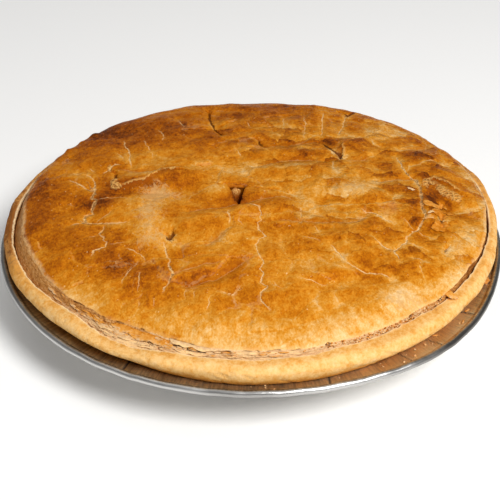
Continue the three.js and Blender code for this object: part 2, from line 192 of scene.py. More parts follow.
# Browner and paler places: x, y, half widths and amount, where a minus is paler
BAKE_PATCHES = (
    (-48, -4, 8, 14, -0.12), (-48, -28, 7, 10, -0.28), (-36, -34, 9, 10, -0.18), (-53, 20, 9, 3, -0.22),
    (-6, 26, 16, 10, -0.26), (22, 6, 14, 9, -0.22), (45, 2, 10, 7, -0.36), (60, -72, 9, 8, -0.35),
    (30, -48, 16, 10, -0.1), (88, -50, 8, 14, -0.2), (60, 80, 12, 9, -0.14), (-70, -3, 9, 6, 0.36),
    (-62, 4, 12, 4, 0.2), (-92, -18, 14, 20, 0.25), (-66, -48, 10, 9, 0.12), (-62, -30, 8, 6, 0.16),
    (-56, -54, 10, 8, 0.15), (-28, -46, 9, 6, 0.2), (48, -58, 7, 3, 0.2), (37, -62, 8, 5, -0.08),
    (52, -56, 8, 5, 0.12), (61, -46, 6, 6, 0.12), (83, -42, 6, 6, 0.12), (72, -45, 5, 6, -0.12),
    (52, 6, 6, 6, -0.1), (-18, -86, 12, 7, -0.09), (12, -17, 12, 8, -0.09), (-14, -34, 16, 5, -0.09),
    (19, -70, 9, 7, -0.09), (73, -24, 8, 9, 0.26), (84, 2, 8, 9, 0.2), (-62, 50, 8, 6, 0.1),
    (30, 78, 7, 7, 0.1), (4, 84, 44, 14, 0.17), (-66, 66, 24, 16, 0.41), (-30, 68, 22, 16, 0.28),
    (64, -12, 10, 10, 0.18), (-17, 72, 9, 7, -0.3), (-39, 20, 8, 5, 0.22), (-16, 6, 6, 6, -0.34),
    (33, -9, 12, 6, -0.14), (-12, -40, 18, 10, -0.2), (-46, -57, 8, 7, 0.26), (-26, -64, 16, 8, 0.14),
    (46, -57, 12, 5, 0.04), (-92, -36, 7, 9, -0.14), (-68, -74, 16, 9, -0.22), (-52, -86, 12, 7, -0.08),
    (96, -34, 7, 12, -0.04), (68, -68, 12, 9, -0.14), (28, -82, 20, 8, -0.1), (-74, 39, 12, 7, 0.14),
    (-4, 51, 12, 5, 0.12), (-41, 53, 9, 5, 0.1), (86, 0, 12, 16, 0.06), (12, -3, 9, 4, 0.1),
    # (-46, 12) darkens the band under the torn plate edge as painted shadow
    (-9, -78, 16, 8, 0.05), (38, 49, 4, 5, 0.25), (17, 33, 14, 4, 0.1), (-46, 12, 16, 3, 0.22),
    (74, -4, 16, 24, 0.09), (-66, 10, 12, 14, 0.06), (-76, -68, 8, 10, -0.18), (52, -8, 7, 7, 0.15),
    (51, -38, 9, 12, 0.14), (38, -66, 8, 7, 0.12), (80, 27, 8, 6, 0.14), (91, 10, 6, 6, -0.12),
    (99, -8, 5, 10, 0.12), (-73, -6, 8, 8, 0.08), (3, -5, 9, 5, 0.08), (-38, 21, 18, 6, 0.08),
    (-36, 52, 14, 6, 0.08), (-80, 46, 8, 10, 0.08), (8, 22, 7, 6, 0.1), (-76, -48, 14, 10, 0.08),
    (-57, -45, 7, 6, 0.07), (-14, -59, 8, 6, 0.07), (-37, -70, 10, 8, 0.06), (46, 52, 6, 6, -0.1),
    (24, -9, 8, 6, -0.08), (-56, -70, 8, 7, 0.13), (-10, -76, 14, 8, 0.05), (39, -57, 5, 5, 0.1),
    (38, 17, 10, 6, -0.08), (96, -20, 6, 9, -0.12), (85, -34, 7, 7, -0.09), (61, -30, 4, 4, -0.1),
    (-11, 5, 8, 5, -0.08),
)

# Dull torn places in the skin: x, y, half widths and amount
SCUFFS = (
    (-46, 4, 9, 12, 0.75), (-34, 2, 9, 6, 0.45), (-47, -17, 9, 10, 0.65), (-45, -35, 9, 9, 0.6),
    (44, 6, 13, 9, 0.55), (62, -74, 13, 9, 0.6), (90, -38, 6, 14, 0.45),
)

# Frothy places, where the skin has blistered: x, y, half widths and amount
FROTH = (
    (81, 14, 1.8, 4.0, 0.9), (84.5, 18, 3.0, 2.2, 0.9), (88, 12.5, 2.6, 3.4, 0.9), (91, 8.5, 3.4, 2.8, 0.9),
    (94.5, 4.5, 2.6, 3.0, 0.9), (-65, 14, 2.0, 4.0, 1.0), (-63, 10, 2.6, 2.0, 0.9),
    (-43, 22.5, 3.0, 1.3, 0.7), (-37, 24, 4.0, 1.3, 0.7), (-68.5, 28, 1.4, 3.6, 0.8),
)

# Small crags on the far edge of the lid: x, y, half widths and height
CRAGS = ((-92, 53, 1.8, 2.2, 1.2), (-80.5, 68.5, 2.6, 2.6, 1.3), (-86, 61.5, 1.4, 1.4, 0.6))

# Torn flakes that lie on the lid: x, y, half length and width, turn, lift and how pale they are
TOP_FLAKES = (
    (82, -4, 4.2, 2.6, 4, 0.25, 0.54), (80.3, -12, 1.8, 1.0, 35, 0.5, 0.95),
    (84.8, -10.5, 3.2, 4.6, 10, 0.2, 0.46), (83.5, -21, 3.2, 4.4, -15, 0.2, 0.46),
    (87, -1.5, 1.8, 3.0, 20, 0.25, 0.5), (79, -16, 2.6, 1.4, 10, 0.2, 0.66),
    (89, -9, 2.4, 2.0, -30, 0.2, 0.48), (73.5, 9, 1.6, 1.0, -20, 0.4, 0.85),
)

# Cracks between the layers at the side of the lid, by angle and share down the side
SIDE_CRACKS = (
    ((-136.6, 0.21), (-134.5, 0.13), (-132.6, 0.09)),
    ((-128.9, 0.18), (-127.1, 0.16)),
    ((-128, 0.03), (-124.3, 0.05)),
    ((-125.2, 0.24), (-122.1, 0.29)),
    ((-123.6, 0.05), (-120.6, 0.06)),
    ((-119.6, 0.05), (-115, 0.06), (-110, 0.05), (-107.4, 0.06)),
    ((-116.7, 0.54), (-115.1, 0.54), (-113.3, 0.51)),
    ((-99.4, 0.39), (-97, 0.3), (-95.1, 0.26)),
    ((-93.7, 0.16), (-91, 0.1), (-88.8, 0.09)),
    ((-87, 0.1), (-84, 0.11)),
    ((-82, 0.12), (-79, 0.1)),
    ((-38.1, 0.2), (-32.9, 0.14), (-23.9, 0.2), (-15, 0.17), (-6, 0.2)),
)

# Open pockets at the side of the lid
SIDE_POCKETS = (
    ((-108.2, 0.24), (-105.6, 0.28), (-103.3, 0.28), (-100.5, 0.36)),
    ((-52.4, 0.27), (-50.6, 0.25)),
    ((-42.6, 0.12), (-40.6, 0.2)),
    ((-74, 0.2), (-73.2, 0.26)),
)

# Lifted flakes at the side: first and last angle, share down the side, width, lift outwards and how pale
SIDE_FLAKES = (
    (-119.5, -107.6, 0.14, 0.32, 0.7, 0.5), (-123.2, -118.2, 0.1, 0.22, 0.5, 0.5),
    (-109.0, -102.0, 0.0, 0.13, 1.0, 0.8), (-104.2, -97.6, 0.02, 0.14, 0.8, 0.8),
    (-107.2, -99.6, 0.46, 0.16, 0.5, 0.9), (-131.2, -125.4, 0.22, 0.12, 0.4, 0.5),
    (-127.4, -121.4, 0.36, 0.16, 0.4, 0.8),
)

# The flake that bridges to the crust: angle, radius, height, half length and width, thickness and dip
BRIDGE_FLAKE = (-38.6, 104.9, 36.7, 3.6, 2.0, 0.8, 20)

# Creases across the flange: angle about the dish and lean
FLANGE_CREASES = ((-55.6, 0.25), (-47.0, 0.35), (-33.5, 0.3), (-74.0, -0.2), (-118.0, 0.1))

# Crumbs seen on the flange: angle about the dish, radius, and length, width and thickness
SEEN_CRUMBS = (
    (-19.6, 108.9, 3.0, 1.7, 0.5), (-32.9, 108.4, 1.6, 0.5, 0.3), (-37.1, 110.6, 1.5, 0.5, 0.3),
    (-45.5, 106.8, 1.7, 0.6, 0.3), (-49.5, 108.3, 0.6, 0.5, 0.4), (-52.4, 107.9, 0.6, 0.4, 0.3),
    (-53.9, 111.0, 0.6, 0.5, 0.4), (-57.1, 111.6, 0.8, 0.5, 0.3), (-87.6, 108.6, 0.6, 0.4, 0.3),
)

# What changes along an edge: middle and width of each stretch in degrees, and its amount
DISH_BENDS = ((311, 16, 1.7), (182, 14, 1.1), (344, 12, -1.2))
CRUST_SWELLS = ((20, 14, 2.2), (195, 30, 0.7), (335, 22, -2.1), (150, 18, -1.7))
RIM_PRESSES = ((281, 8, 0.9), (225, 9, -1.2), (240, 8, 1.4))
RIM_LIFTS = ((18, 14, 1.2), (338, 14, 1.2), (239, 10, -1.6))
LID_PULLS = ((62, 18, 1.6), (90, 11, -1.4), (108, 10, 0.8), (275, 20, 1.0), (243, 9, -2.2), (150, 15, -1.4))
# Painted light on the foil: the flange is painted lighter at the front right, and stretches of the rolled
# edge and its crown are painted darker as painted shade and dark reflection
FLANGE_PAINTED_LIGHT = ((-50, 30, 0.45),)
ROLL_PAINTED_SHADE = ((-20, 24, 0.7), (-46, 14, 0.5), (-92, 9, 0.3), (-163, 14, 0.5))
CROWN_PAINTED_SHADE = ((-95, 55, 0.5),)
# Painted shade on the crust: darker on its shaded left, back and right back
CRUST_PAINTED_SHADE = ((165, 30, 0.3), (90, 70, 0.2), (28, 20, 0.3), (187, 14, 0.5))
# Edge of the lid: paler at the front and right where less baked, darker at the left and back as painted shade
EDGE_BAKE_AND_SHADE = ((-72, 46, -0.32), (-12, 26, -0.12), (180, 45, 0.12), (90, 60, 0.12))
SIDE_TONES = ((-92, 20, 0.5), (-60, 18, 0.36), (-22, 14, -0.1), (-168, 30, 0.12))
# Stretches of the lid's edge that carry a painted highlight
EDGE_HIGHLIGHTS = ((-168, 28, 1.0), (0, 40, 1.0), (-75, 40, 0.7))


def rgb(red, green, blue):
    """Linear colour of a screen colour given from 0 to 255."""
    return tuple(
        value / 255 / 12.92 if value <= 10 else ((value / 255 + 0.055) / 1.055) ** 2.4
        for value in (red, green, blue)
    )


def smooth(low, high, value):
    """Soft step from 0 to 1."""
    share = np.clip((value - low) / (high - low), 0, 1)
    return share * share * (3 - 2 * share)


def bell(value, width):
    """Soft bump of height 1 at 0."""
    return np.exp(-((value / width) ** 2))


class Grain:
    """Smooth seeded noise in the plane, from about -1 to 1."""

    CELLS = 256

    def __init__(self, seed):
        self.lattice = np.random.default_rng(seed).uniform(-1, 1, (self.CELLS, self.CELLS))

    def at(self, x, y):
        """Noise with features about one unit across."""
        column, row = np.floor(x).astype(int), np.floor(y).astype(int)
        u, v = x - column, y - row
        u = u * u * u * (u * (u * 6 - 15) + 10)
        v = v * v * v * (v * (v * 6 - 15) + 10)
        left, right = column % self.CELLS, (column + 1) % self.CELLS
        low, high = row % self.CELLS, (row + 1) % self.CELLS
        bottom = self.lattice[left, low] * (1 - u) + self.lattice[right, low] * u
        top = self.lattice[left, high] * (1 - u) + self.lattice[right, high] * u
        return bottom * (1 - v) + top * v

    def layers(self, x, y, size, count, fade=0.5):
        """Several turned layers of noise, each half the size of the one before."""
        total, amount = 0, 1
        for layer in range(count):
            turn = 0.6 + 0.9 * layer
            across = (x * math.cos(turn) - y * math.sin(turn)) / size + 17.3 * layer
            along = (x * math.sin(turn) + y * math.cos(turn)) / size + 31.7 * layer
            total = total + amount * self.at(across, along)
            amount *= fade
            size *= 0.5
        return total


WARP_X = Grain(11)
WARP_Y = Grain(12)
SWELL = Grain(13)
MOTTLE = Grain(14)
FINE = Grain(15)
RAGGED = Grain(16)
CRINKLE = Grain(17)

LINE_FAR = 60.0
LINE_REACH = 3.0

# Radius on which the side of the lid is unrolled, and millimetres there to a degree
SIDE_R = 104
SIDE_SCALE = 1.82

# Innermost ring of the turned shells
HUB_R = 20

# Radius in metres of the ring on which patterns that streak outwards are read
RING_R = 0.08


def line_field(x, y, lines, taper):
    """Signed distance to the nearest of some lines, and how fully that line runs there."""
    near = np.full(x.shape, LINE_FAR)
    side = np.full(x.shape, LINE_FAR)
    reach = np.zeros(x.shape)
    for line in lines:
        points = np.array(line, float)
        steps = np.diff(points, axis=0)
        lengths = np.hypot(steps[:, 0], steps[:, 1])
        run, total = 0.0, lengths.sum()
        for start, step, length in zip(points[:-1], steps, lengths):
            along = ((x - start[0]) * step[0] + (y - start[1]) * step[1]) / length**2
            held = np.clip(along, 0, 1)
            dx = x - start[0] - held * step[0]
            dy = y - start[1] - held * step[1]
            distance = np.hypot(dx, dy)
            closer = distance < near
            near = np.where(closer, distance, near)
            side = np.where(closer, np.copysign(distance, step[0] * dy - step[1] * dx), side)
            gone = run + held * length
            ends = smooth(0, taper, np.minimum(gone, total - gone))
            reach = np.where(closer, ends, reach)
            run += length
    return side, reach * (near < LINE_REACH)


def arc(angle, middle, width):
    """Soft weight of a stretch of the edge, by angles in degrees."""
    away = np.degrees(angle) - middle
    return bell((away + 180) % 360 - 180, width)


def arcs(angle, rows):
    """Sum of stretches of the edge: middle, width and amount of each."""
    return sum(amount * arc(angle, middle, width) for middle, width, amount in rows)


def measure(name, description, millimetres):
    """Property for a length."""
    return FloatProperty(name=name, description=description, default=millimetres * MM, unit="LENGTH")


def tint(name, description, *screen):
    """Property for a colour that is given as it looks on screen, from 0 to 255."""
    return FloatVectorProperty(
        name=name, description=description, subtype="COLOR", size=3, default=rgb(*screen))


class PieSizes(bpy.types.PropertyGroup):
    """Sizes of the pie and its dish."""

    dish_radius: measure("Dish radius", "Half the width over the rolled edge", 115)
    dish_depth: measure("Dish depth", "Height of the flange over the floor of the dish", 25)
    dish_floor: measure("Dish floor radius", "Radius of the flat floor", 86)
    dish_mouth: measure("Dish mouth radius", "Radius where the wall turns into the flange", 100)
    bead: measure("Rolled edge radius", "Radius of the rolled edge", 1.5)
    pleats: IntProperty(name="Pleats", description="Pleats round the wall of the dish", default=90)
    crust_foot: measure("Crust foot radius", "Radius where the crust meets the flange", 109.8)
    crust_bulge: measure("Crust bulge radius", "Widest radius of the crust", 113.1)
    crust_rim: measure("Crust rim radius", "Radius of the inner rim of the crust", 107.5)
    crust_rise: measure("Crust rise", "Height of the crust over the flange", 9.9)
    lid_radius: measure("Lid radius", "Mean radius of the browned lid", 105.6)
    lid_edge: measure("Lid edge height", "Height of the lid at its edge", 38.2)
    lid_top: measure("Lid top height", "Height of the lid at its middle", 45.2)
    ledge: measure("Ledge height", "Height of the ledge that carries the lid", 31.2)


class PieLooks(bpy.types.PropertyGroup):
    """Colours of the pastry, the filling, the foil and the stage."""

    # Cream is also used for painted glints and for the painted highlight along the lid's edge
    cream: tint("Inner pastry", "Pale pastry inside splits and flakes", 244, 202, 142)
    # Pale also paints the highlights on torn flaps and on the rims of froth
    pale: tint("Pale bake", "Palest skin of the lid", 231, 176, 98)
    gold: tint("Light bake", "Lightly baked lid", 216, 143, 41)
    amber: tint("Mid bake", "Lid of middle brown", 196, 113, 9)
    # Brown is also used for painted shadow under torn edges and painted shade in creases, in the vent and on
    # deep egg
    brown: tint("Dark bake", "Well browned lid", 156, 78, 4)
    # Scorch is also used for painted shade in slits, side gaps and the back of the vent
    scorch_and_shade: tint("Scorch", "Darkest brown of the lid", 96, 43, 6)
    scuffed: tint("Scuffed skin", "Dull torn skin of the lid", 214, 167, 108)
    taupe: tint("Crack floor", "Dull floor of the wide splits", 146, 100, 56)
    tan: tint("Layers", "Flaky layers at the side of the lid", 200, 140, 74)
    crumbly: tint("Crumbly layers", "Pale crumbly side of the lid", 216, 176, 130)
    umber: tint("Browned layers", "Browned side of the lid", 146, 88, 36)
    toasted: tint("Toasted", "Golden mottles of the crust", 222, 154, 68)
    shortcrust: tint("Shortcrust", "Pale golden crust", 236, 186, 114)
    froth: tint("Dry edge", "Palest dry edge of the crust", 250, 224, 178)
    egg: tint("Egg", "Set egg filling", 206, 152, 76)
    foil: tint("Foil", "Bright foil", 232, 231, 229)
    # The dull foil colour is where the shine is lowest, from smears and from painted shade and dark
    # reflection; the warm foil colour below is a painted reflection of the crust on the flange
    dull_and_shaded_foil: tint("Dull foil", "Greyed foil", 112, 109, 105)
    crust_reflection_foil: tint("Stained foil", "Foil browned by the oven", 232, 208, 150)
    floor: tint("Floor", "Pale floor of the stage", 244, 243, 241)
    floor_cloud: tint("Floor cloud", "Faint shade in the floor", 236, 235, 233)


class Shape:
    """Rules of radius and height that the pieces share, in millimetres and by angle about the pie."""

    FOIL = 0.4
    BEAD_LIFT = 0.3
    FOOT_GAP = 0.9
    CRUST_WIDTH = 4.2
    RIM_GAP = 1.1
    LID_GAP = 0.6
    FRAY_R = 100
    SHOULDER = 1.5
    TILT = 0.011
    FOOT_RISE = 1.3
    FLANK = 6.5
    VENT_DIP = 0.7

    def __init__(self, sizes):
        self.dish_r = sizes.dish_radius / MM
        self.dish_depth = sizes.dish_depth / MM
        self.dish_floor = sizes.dish_floor / MM
        self.dish_mouth = sizes.dish_mouth / MM
        self.bead = sizes.bead / MM
        self.pleats = sizes.pleats
        self.foot_r = sizes.crust_foot / MM
        self.bulge_r = sizes.crust_bulge / MM
        self.rim_r = sizes.crust_rim / MM
        self.foot_z = self.dish_depth + 0.5
        self.rim_z = self.dish_depth + sizes.crust_rise / MM
        self.lid_r = sizes.lid_radius / MM
        self.lid_edge_z = sizes.lid_edge / MM
        self.lid_top_z = sizes.lid_top / MM
        self.ledge_z = sizes.ledge / MM

    def dish_edge(self, angle):
        """Rolled edge of the dish, bent a little by handling."""
        return self.dish_r + arcs(angle, DISH_BENDS)

    def crust_foot(self, angle):
        """Foot of the crust in four lobes, kept inside the rolled edge."""
        lift = PIE_MIDDLE[1] - DISH_MIDDLE[1]
        clear = self.dish_edge(angle) - 2 * self.bead - self.FOOT_GAP - lift * np.sin(angle)
        return np.minimum(self.foot_r + 2.1 * np.cos(4 * angle - math.radians(10)), clear)

    def crust_bulge(self, angle):
        """Widest course of the hand-pressed crust."""
        inner = self.crust_rim(angle) + self.CRUST_WIDTH
        course = np.maximum(self.bulge_r + arcs(angle, CRUST_SWELLS), inner)
        return course + 0.3 * np.sin(11 * angle) + 0.2 * np.sin(23 * angle + 1)

    def crust_rim(self, angle):
        """Inner rim of the crust, always outside the lid."""
        course = self.rim_r - 1.2 * np.cos(angle) + 0.7 * np.sin(angle) + 0.4 * np.cos(2 * angle)
        lobes = np.sin(2 * angle) + 0.6 * np.cos(4 * angle)
        inner = self.lid_course(angle) + self.RIM_GAP
        return np.maximum(course + lobes + arcs(angle, RIM_PRESSES), inner)

    def rim_lift(self, angle):
        """How far the top of the crust rises and dips."""
        waves = 0.3 * np.sin(5 * angle + 0.6) + 0.25 * np.sin(13 * angle) + 0.15 * np.sin(29 * angle)
        return waves + arcs(angle, RIM_LIFTS)

    def lid_foot(self, angle):
        """Foot of the lid, just inside the rim of the crust."""
        return self.crust_rim(angle) - self.LID_GAP

    def lid_course(self, angle):
        """Edge of the lid before it is frayed: drawn out to the back, torn back at the near left."""
        course = self.lid_r + 2.4 * np.sin(angle) + 0.9 * np.cos(angle) + 1.1 * np.cos(2 * angle)
        return course + 1.2 * np.sin(3 * angle) + arcs(angle, LID_PULLS)

    def lid_edge(self, angle):
        """Frayed edge of the lid."""
        edge = self.lid_course(angle) + 0.35 * np.sin(17 * angle + 0.4) + 0.25 * np.sin(31 * angle)
        edge += 0.35 * RAGGED.layers(np.cos(angle) * self.FRAY_R, np.sin(angle) * self.FRAY_R, 5, 3)
        return np.minimum(edge, self.lid_foot(angle))

    def lid_flank(self, angle, share):
        """Radius and height at a share down the side of the lid, without its relief."""
        edge, foot = self.lid_edge(angle), self.lid_foot(angle)
        edge_z = self.lid_edge_z + self.TILT * edge * np.sin(angle)
        return edge + (foot - edge) * share**0.8, edge_z + (self.ledge_z + self.FOOT_RISE - edge_z) * share

    def lid_dome(self, y, share):
        """Smooth dome of the lid without its relief."""
        shoulder = self.SHOULDER * (1 - np.exp(-(1 - share) * self.lid_r / 4))
        rise = (self.lid_top_z - self.SHOULDER - self.lid_edge_z) * (1 - share**3)
        return self.lid_edge_z + shoulder + rise + self.TILT * y


def swells(x, y):
    """Broad unevenness of the lid, as in the solid."""
    u = x + 7 * np.sin(y / 17 + 0.8)
    v = y + 6 * np.sin(x / 13 - 0.5)
    height = 0.45 * np.sin(u / 9 + 0.7) * np.cos(v / 11) + 0.35 * np.sin((0.7 * u + v) / 7.3 + 1.9)
    height += 0.25 * np.sin((u - 1.4 * v) / 5.6) * np.sin((1.2 * u + v) / 14)
    for x0, y0, x1, y1, rise, width in FOLDS:
        side, _ = line_field(x, y, (((x0, y0), (x1, y1)),), 1)
        height += rise * bell(side, width)
    return height


def patched(x, y, patches):
    """Sum of soft patches: x, y, half widths and amount of each."""
    total = np.zeros(x.shape)
    for px, py, wide, deep, amount in patches:
        total += amount * np.exp(-(((x - px) / wide) ** 2) - ((y - py) / deep) ** 2)
    return total


def vent_distance(x, y):
    """Distance outside the steam vent."""
    side, _ = line_field(x, y, (VENT + VENT[:1],), 1)
    return np.abs(side)


class Chain:
    """A bmesh in millimetres that is grown row by row, then placed in metres."""

    def __init__(self):
        self.bm = bmesh.new()
        self.row = self.bm.verts.layers.float.new("row")

    def turn(self, profile, steps):
        """Grows a profile of radius and height ring by ring into a closed shell."""
        bmesh.ops.create_circle(self.bm, cap_ends=False, radius=1.0, segments=steps)
        loop, verts = list(self.bm.edges), list(self.bm.verts)
        for index, (radius, height) in enumerate(profile):
            if index:
                verts, loop = self.extrude(loop)
            for vert in verts:
                flat = math.hypot(vert.co.x, vert.co.y)
                vert.co = (vert.co.x / flat * radius, vert.co.y / flat * radius, height)
                vert[self.row] = index
        bmesh.ops.holes_fill(self.bm, edges=self.bm.edges, sides=0)
        bmesh.ops.recalc_face_normals(self.bm, faces=self.bm.faces)

    def extrude(self, edges):
        """Extrudes a loop of edges once and gives the new vertices and the new loop."""
        made = bmesh.ops.extrude_edge_only(self.bm, edges=edges)["geom"]
        verts = {item for item in made if isinstance(item, bmesh.types.BMVert)}
        loop = [
            item for item in made
            if isinstance(item, bmesh.types.BMEdge) and item.verts[0] in verts and item.verts[1] in verts
        ]
        return verts, loop

    def ball(self, fineness):
        """Adds a unit ball and gives its vertices and their places as three rows."""
        verts = bmesh.ops.create_icosphere(self.bm, subdivisions=fineness, radius=1.0)["verts"]
        return verts, np.array([vert.co for vert in verts]).T

    def settle(self, verts, spots, tones):
        """Moves vertices to their places and marks each with its tone."""
        for vert, spot, tone in zip(verts, spots, tones):
            vert.co = spot
            vert[self.row] = tone

    def lump(self, spot, turn, sizes, tone, fineness, shaking, draws):
        """Adds a rough crumb of given half sizes, shaken by seeded draws."""
        lie = Matrix.Translation(spot) @ Matrix.Rotation(turn, 4, "Z") @ Matrix.Diagonal((*sizes, 1))
        made = bmesh.ops.create_icosphere(self.bm, subdivisions=fineness, radius=1.0, matrix=lie)
        for vert in made["verts"]:
            vert.co += (vert.co - spot) * draws.uniform(*shaking)
            vert[self.row] = tone

    def piece(self, name):
        """Turns the bmesh into an object at the origin, still in millimetres."""
        mesh = bpy.data.meshes.new(name)
        self.bm.to_mesh(mesh)
        self.bm.free()
        mesh.polygons.foreach_set("use_smooth", np.ones(len(mesh.polygons), bool))
        made = bpy.data.objects.new(name, mesh)
        bpy.context.scene.collection.objects.link(made)
        return made


def places(piece):
    """Vertex places of a piece as three columns."""
    flat = np.empty(len(piece.data.vertices) * 3, np.float32)
    piece.data.vertices.foreach_get("co", flat)
    return flat.reshape(-1, 3).astype(float)


def place(piece, spots, middle=(0, 0)):
    """Moves a piece's vertices to places given in millimetres about a middle."""
    moved = np.column_stack((spots[:, 0] + middle[0], spots[:, 1] + middle[1], spots[:, 2])) * MM
    piece.data.vertices.foreach_set("co", moved.astype(np.float32).ravel())
    piece.data.update()


def around(radius, angle, height):
    """Places given by radius, angle and height."""
    return np.column_stack((radius * np.cos(angle), radius * np.sin(angle), height))


def read_field(piece, name):
    """The number that each vertex of a piece holds under a name."""
    values = np.empty(len(piece.data.vertices), np.float32)
    piece.data.attributes[name].data.foreach_get("value", values)
    return values.astype(float)


def write_fields(piece, **fields):
    """Writes one number for each vertex under each name, for the materials to read."""
    for name, values in fields.items():
        held = piece.data.attributes.get(name) or piece.data.attributes.new(name, "FLOAT", "POINT")
        held.data.foreach_set("value", np.asarray(values, np.float32))


def hand_over(piece, material, node=None):
    """Gives a piece its material and slot, parents it to the body, and hides the part of the model that it
    stands for.
    """
    piece.data.materials.append(material)
    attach(piece, BODY)
    if node:
        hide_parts(node)


class Wire:
    """One output of a node, so that sums on it are written as Python."""

    def __init__(self, finish, socket):
        self.finish = finish
        self.socket = socket

    def __add__(self, other):
        return self.finish.maths("ADD", self, other)

    __radd__ = __add__

    def __sub__(self, other):
        return self.finish.maths("SUBTRACT", self, other)

    def __rsub__(self, other):
        return self.finish.maths("SUBTRACT", other, self)

    def __mul__(self, other):
        return self.finish.maths("MULTIPLY", self, other)

    __rmul__ = __mul__

    def __truediv__(self, other):
        return self.finish.maths("DIVIDE", self, other)

    def __rtruediv__(self, other):
        return self.finish.maths("DIVIDE", other, self)

    def __abs__(self):
        return self.finish.maths("ABSOLUTE", self)

    def swing(self, amount):
        """A value from 0 to 1 turned into a swing about 0."""
        return (self - 0.5) * amount


class Finish:
    """A material whose nodes are added one by one."""

    def __init__(self, name):
        self.material = bpy.data.materials.new(name)
        self.material.use_nodes = True
        self.tree = self.material.node_tree
        self.tree.nodes.clear()
        self.spot = self.node("TexCoord", output="Object")

    def node(self, kind, settings=None, inputs=None, output=0):
        """Adds a node, with its settings first and then its sockets."""
        made = self.tree.nodes.new("ShaderNode" + kind)
        for key, value in (settings or {}).items():
            if key == "stops":
                self.set_stops(made.color_ramp, value)
            else:
                setattr(made, key, value)
        for key, value in (inputs or {}).items():
            if isinstance(value, Wire):
                self.tree.links.new(value.socket, made.inputs[key])
            else:
                made.inputs[key].default_value = value
        return Wire(self, made.outputs[output]) if made.outputs else None

    @staticmethod
    def set_stops(ramp, stops):
        """Gives a ramp its positions and colours."""
        while len(ramp.elements) < len(stops):
            ramp.elements.new(1.0)
        for element, (position, colour) in zip(ramp.elements, stops):
            element.position = position
            element.color = (*colour, 1.0)

    def maths(self, operation, *values):
        """Math on numbers, in the order of its sockets."""
        return self.node("Math", {"operation": operation}, dict(enumerate(values)))

    def vector(self, operation, *values, output=0):
        """Vector Math on vectors, in the order of its sockets."""
        return self.node("VectorMath", {"operation": operation}, dict(enumerate(values)), output)

    def mix(self, share, first, second):
        """Colour between two colours."""
        pair = [value if isinstance(value, Wire) else (*value, 1.0) for value in (first, second)]
        return self.node("Mix", {"data_type": "RGBA"}, {0: share, 6: pair[0], 7: pair[1]}, 2)

    def field(self, name):
        """A number that the piece holds at each vertex."""
        return self.node("Attribute", {"attribute_name": name}, output="Fac")

    def stretched(self, x, y, z):
        """Object coordinates with each axis scaled."""
        return self.node("Mapping", inputs={"Vector": self.spot, "Scale": (x, y, z)})

    def outward(self, stretch):
        """Coordinates about the middle of the pie on which a pattern streaks outwards."""
        shift = (-PIE_MIDDLE[0] * MM, -PIE_MIDDLE[1] * MM, 0)
        flat = self.node("Mapping", inputs={"Vector": self.spot, "Location": shift, "Scale": (1, 1, 0)})
        reach = self.vector("LENGTH", flat, output="Value")
        ring = self.vector("MULTIPLY", self.vector("NORMALIZE", flat), (RING_R,) * 3)
        rise = self.node("CombineXYZ", inputs={"Z": reach * stretch})
        return self.vector("ADD", ring, rise)

    def shaken(self, size, reach, detail=2.0):
        """Object coordinates pushed about by noise, both in millimetres."""
        inputs = {"Vector": self.spot, "Scale": 1 / (size * MM), "Detail": detail, "Roughness": 0.6}
        jolt = self.node("TexNoise", inputs=inputs, output="Color")
        return self.vector("MULTIPLY_ADD", jolt, (reach * MM,) * 3, self.spot)

    def net(self, size, spot):
        """Distance to the borders of cells of a size in millimetres."""
        return self.node("TexVoronoi", {"feature": "DISTANCE_TO_EDGE"}, {
            "Vector": spot, "Scale": 1 / (size * MM)})

    def scales(self, size, spot):
        """Overlapping plates of a size in millimetres: height of each place, and lift of each plate."""
        spot = self.node("Mapping", inputs={"Vector": spot, "Scale": (1.0, 0.85, 1)})
        settings, inputs = {"voronoi_dimensions": "2D"}, {"Vector": spot, "Scale": 1 / (size * MM)}
        shade = self.node("TexVoronoi", settings, inputs, "Color")
        middle = self.node("TexVoronoi", settings, inputs, "Position")
        lean = self.vector("MULTIPLY_ADD", shade, (0.6, 0.6, 0), (-0.3, -0.7, 0))
        tilt = self.vector("DOT_PRODUCT", self.vector("SUBTRACT", spot, middle), lean, output="Value")
        return tilt / MM, self.node("SeparateXYZ", inputs={0: shade}, output=2)

    def grain(self, size, detail=3.0, rough=0.55, spot=None, twist=0.0):
        """Noise from 0 to 1 with features of a size in millimetres."""
        return self.node("TexNoise", inputs={
            "Vector": spot or self.spot, "Scale": 1 / (size * MM), "Detail": detail, "Roughness": rough,
            "Distortion": twist})

    def fade(self, value, low, high):
        """Soft step of a value from 0 at low to 1 at high."""
        return self.node("MapRange", {"interpolation_type": "SMOOTHSTEP"}, {
            "Value": value, "From Min": low, "From Max": high, "To Min": 0.0, "To Max": 1.0})

    def ramp(self, value, stops):
        """Colour of a value by stops."""
        return self.node("ValToRGB", {"stops": stops}, {"Fac": value})

    def bump(self, height, depth, under=None):
        """Relief of a depth in millimetres."""
        sockets = {"Height": height, "Distance": depth * MM, "Strength": 1.0}
        if under:
            sockets["Normal"] = under
        return self.node("Bump", inputs=sockets)

    def surface(self, **sockets):
        """Closes the material with a surface whose sockets are given by name."""
        named = {}
        for key, value in sockets.items():
            title = key.replace("_", " ").title().replace("Ior", "IOR")
            named[title] = (*value, 1.0) if isinstance(value, tuple) else value
        shader = self.node("BsdfPrincipled", inputs=named)
        self.node("OutputMaterial", inputs={"Surface": shader})
        return self.material


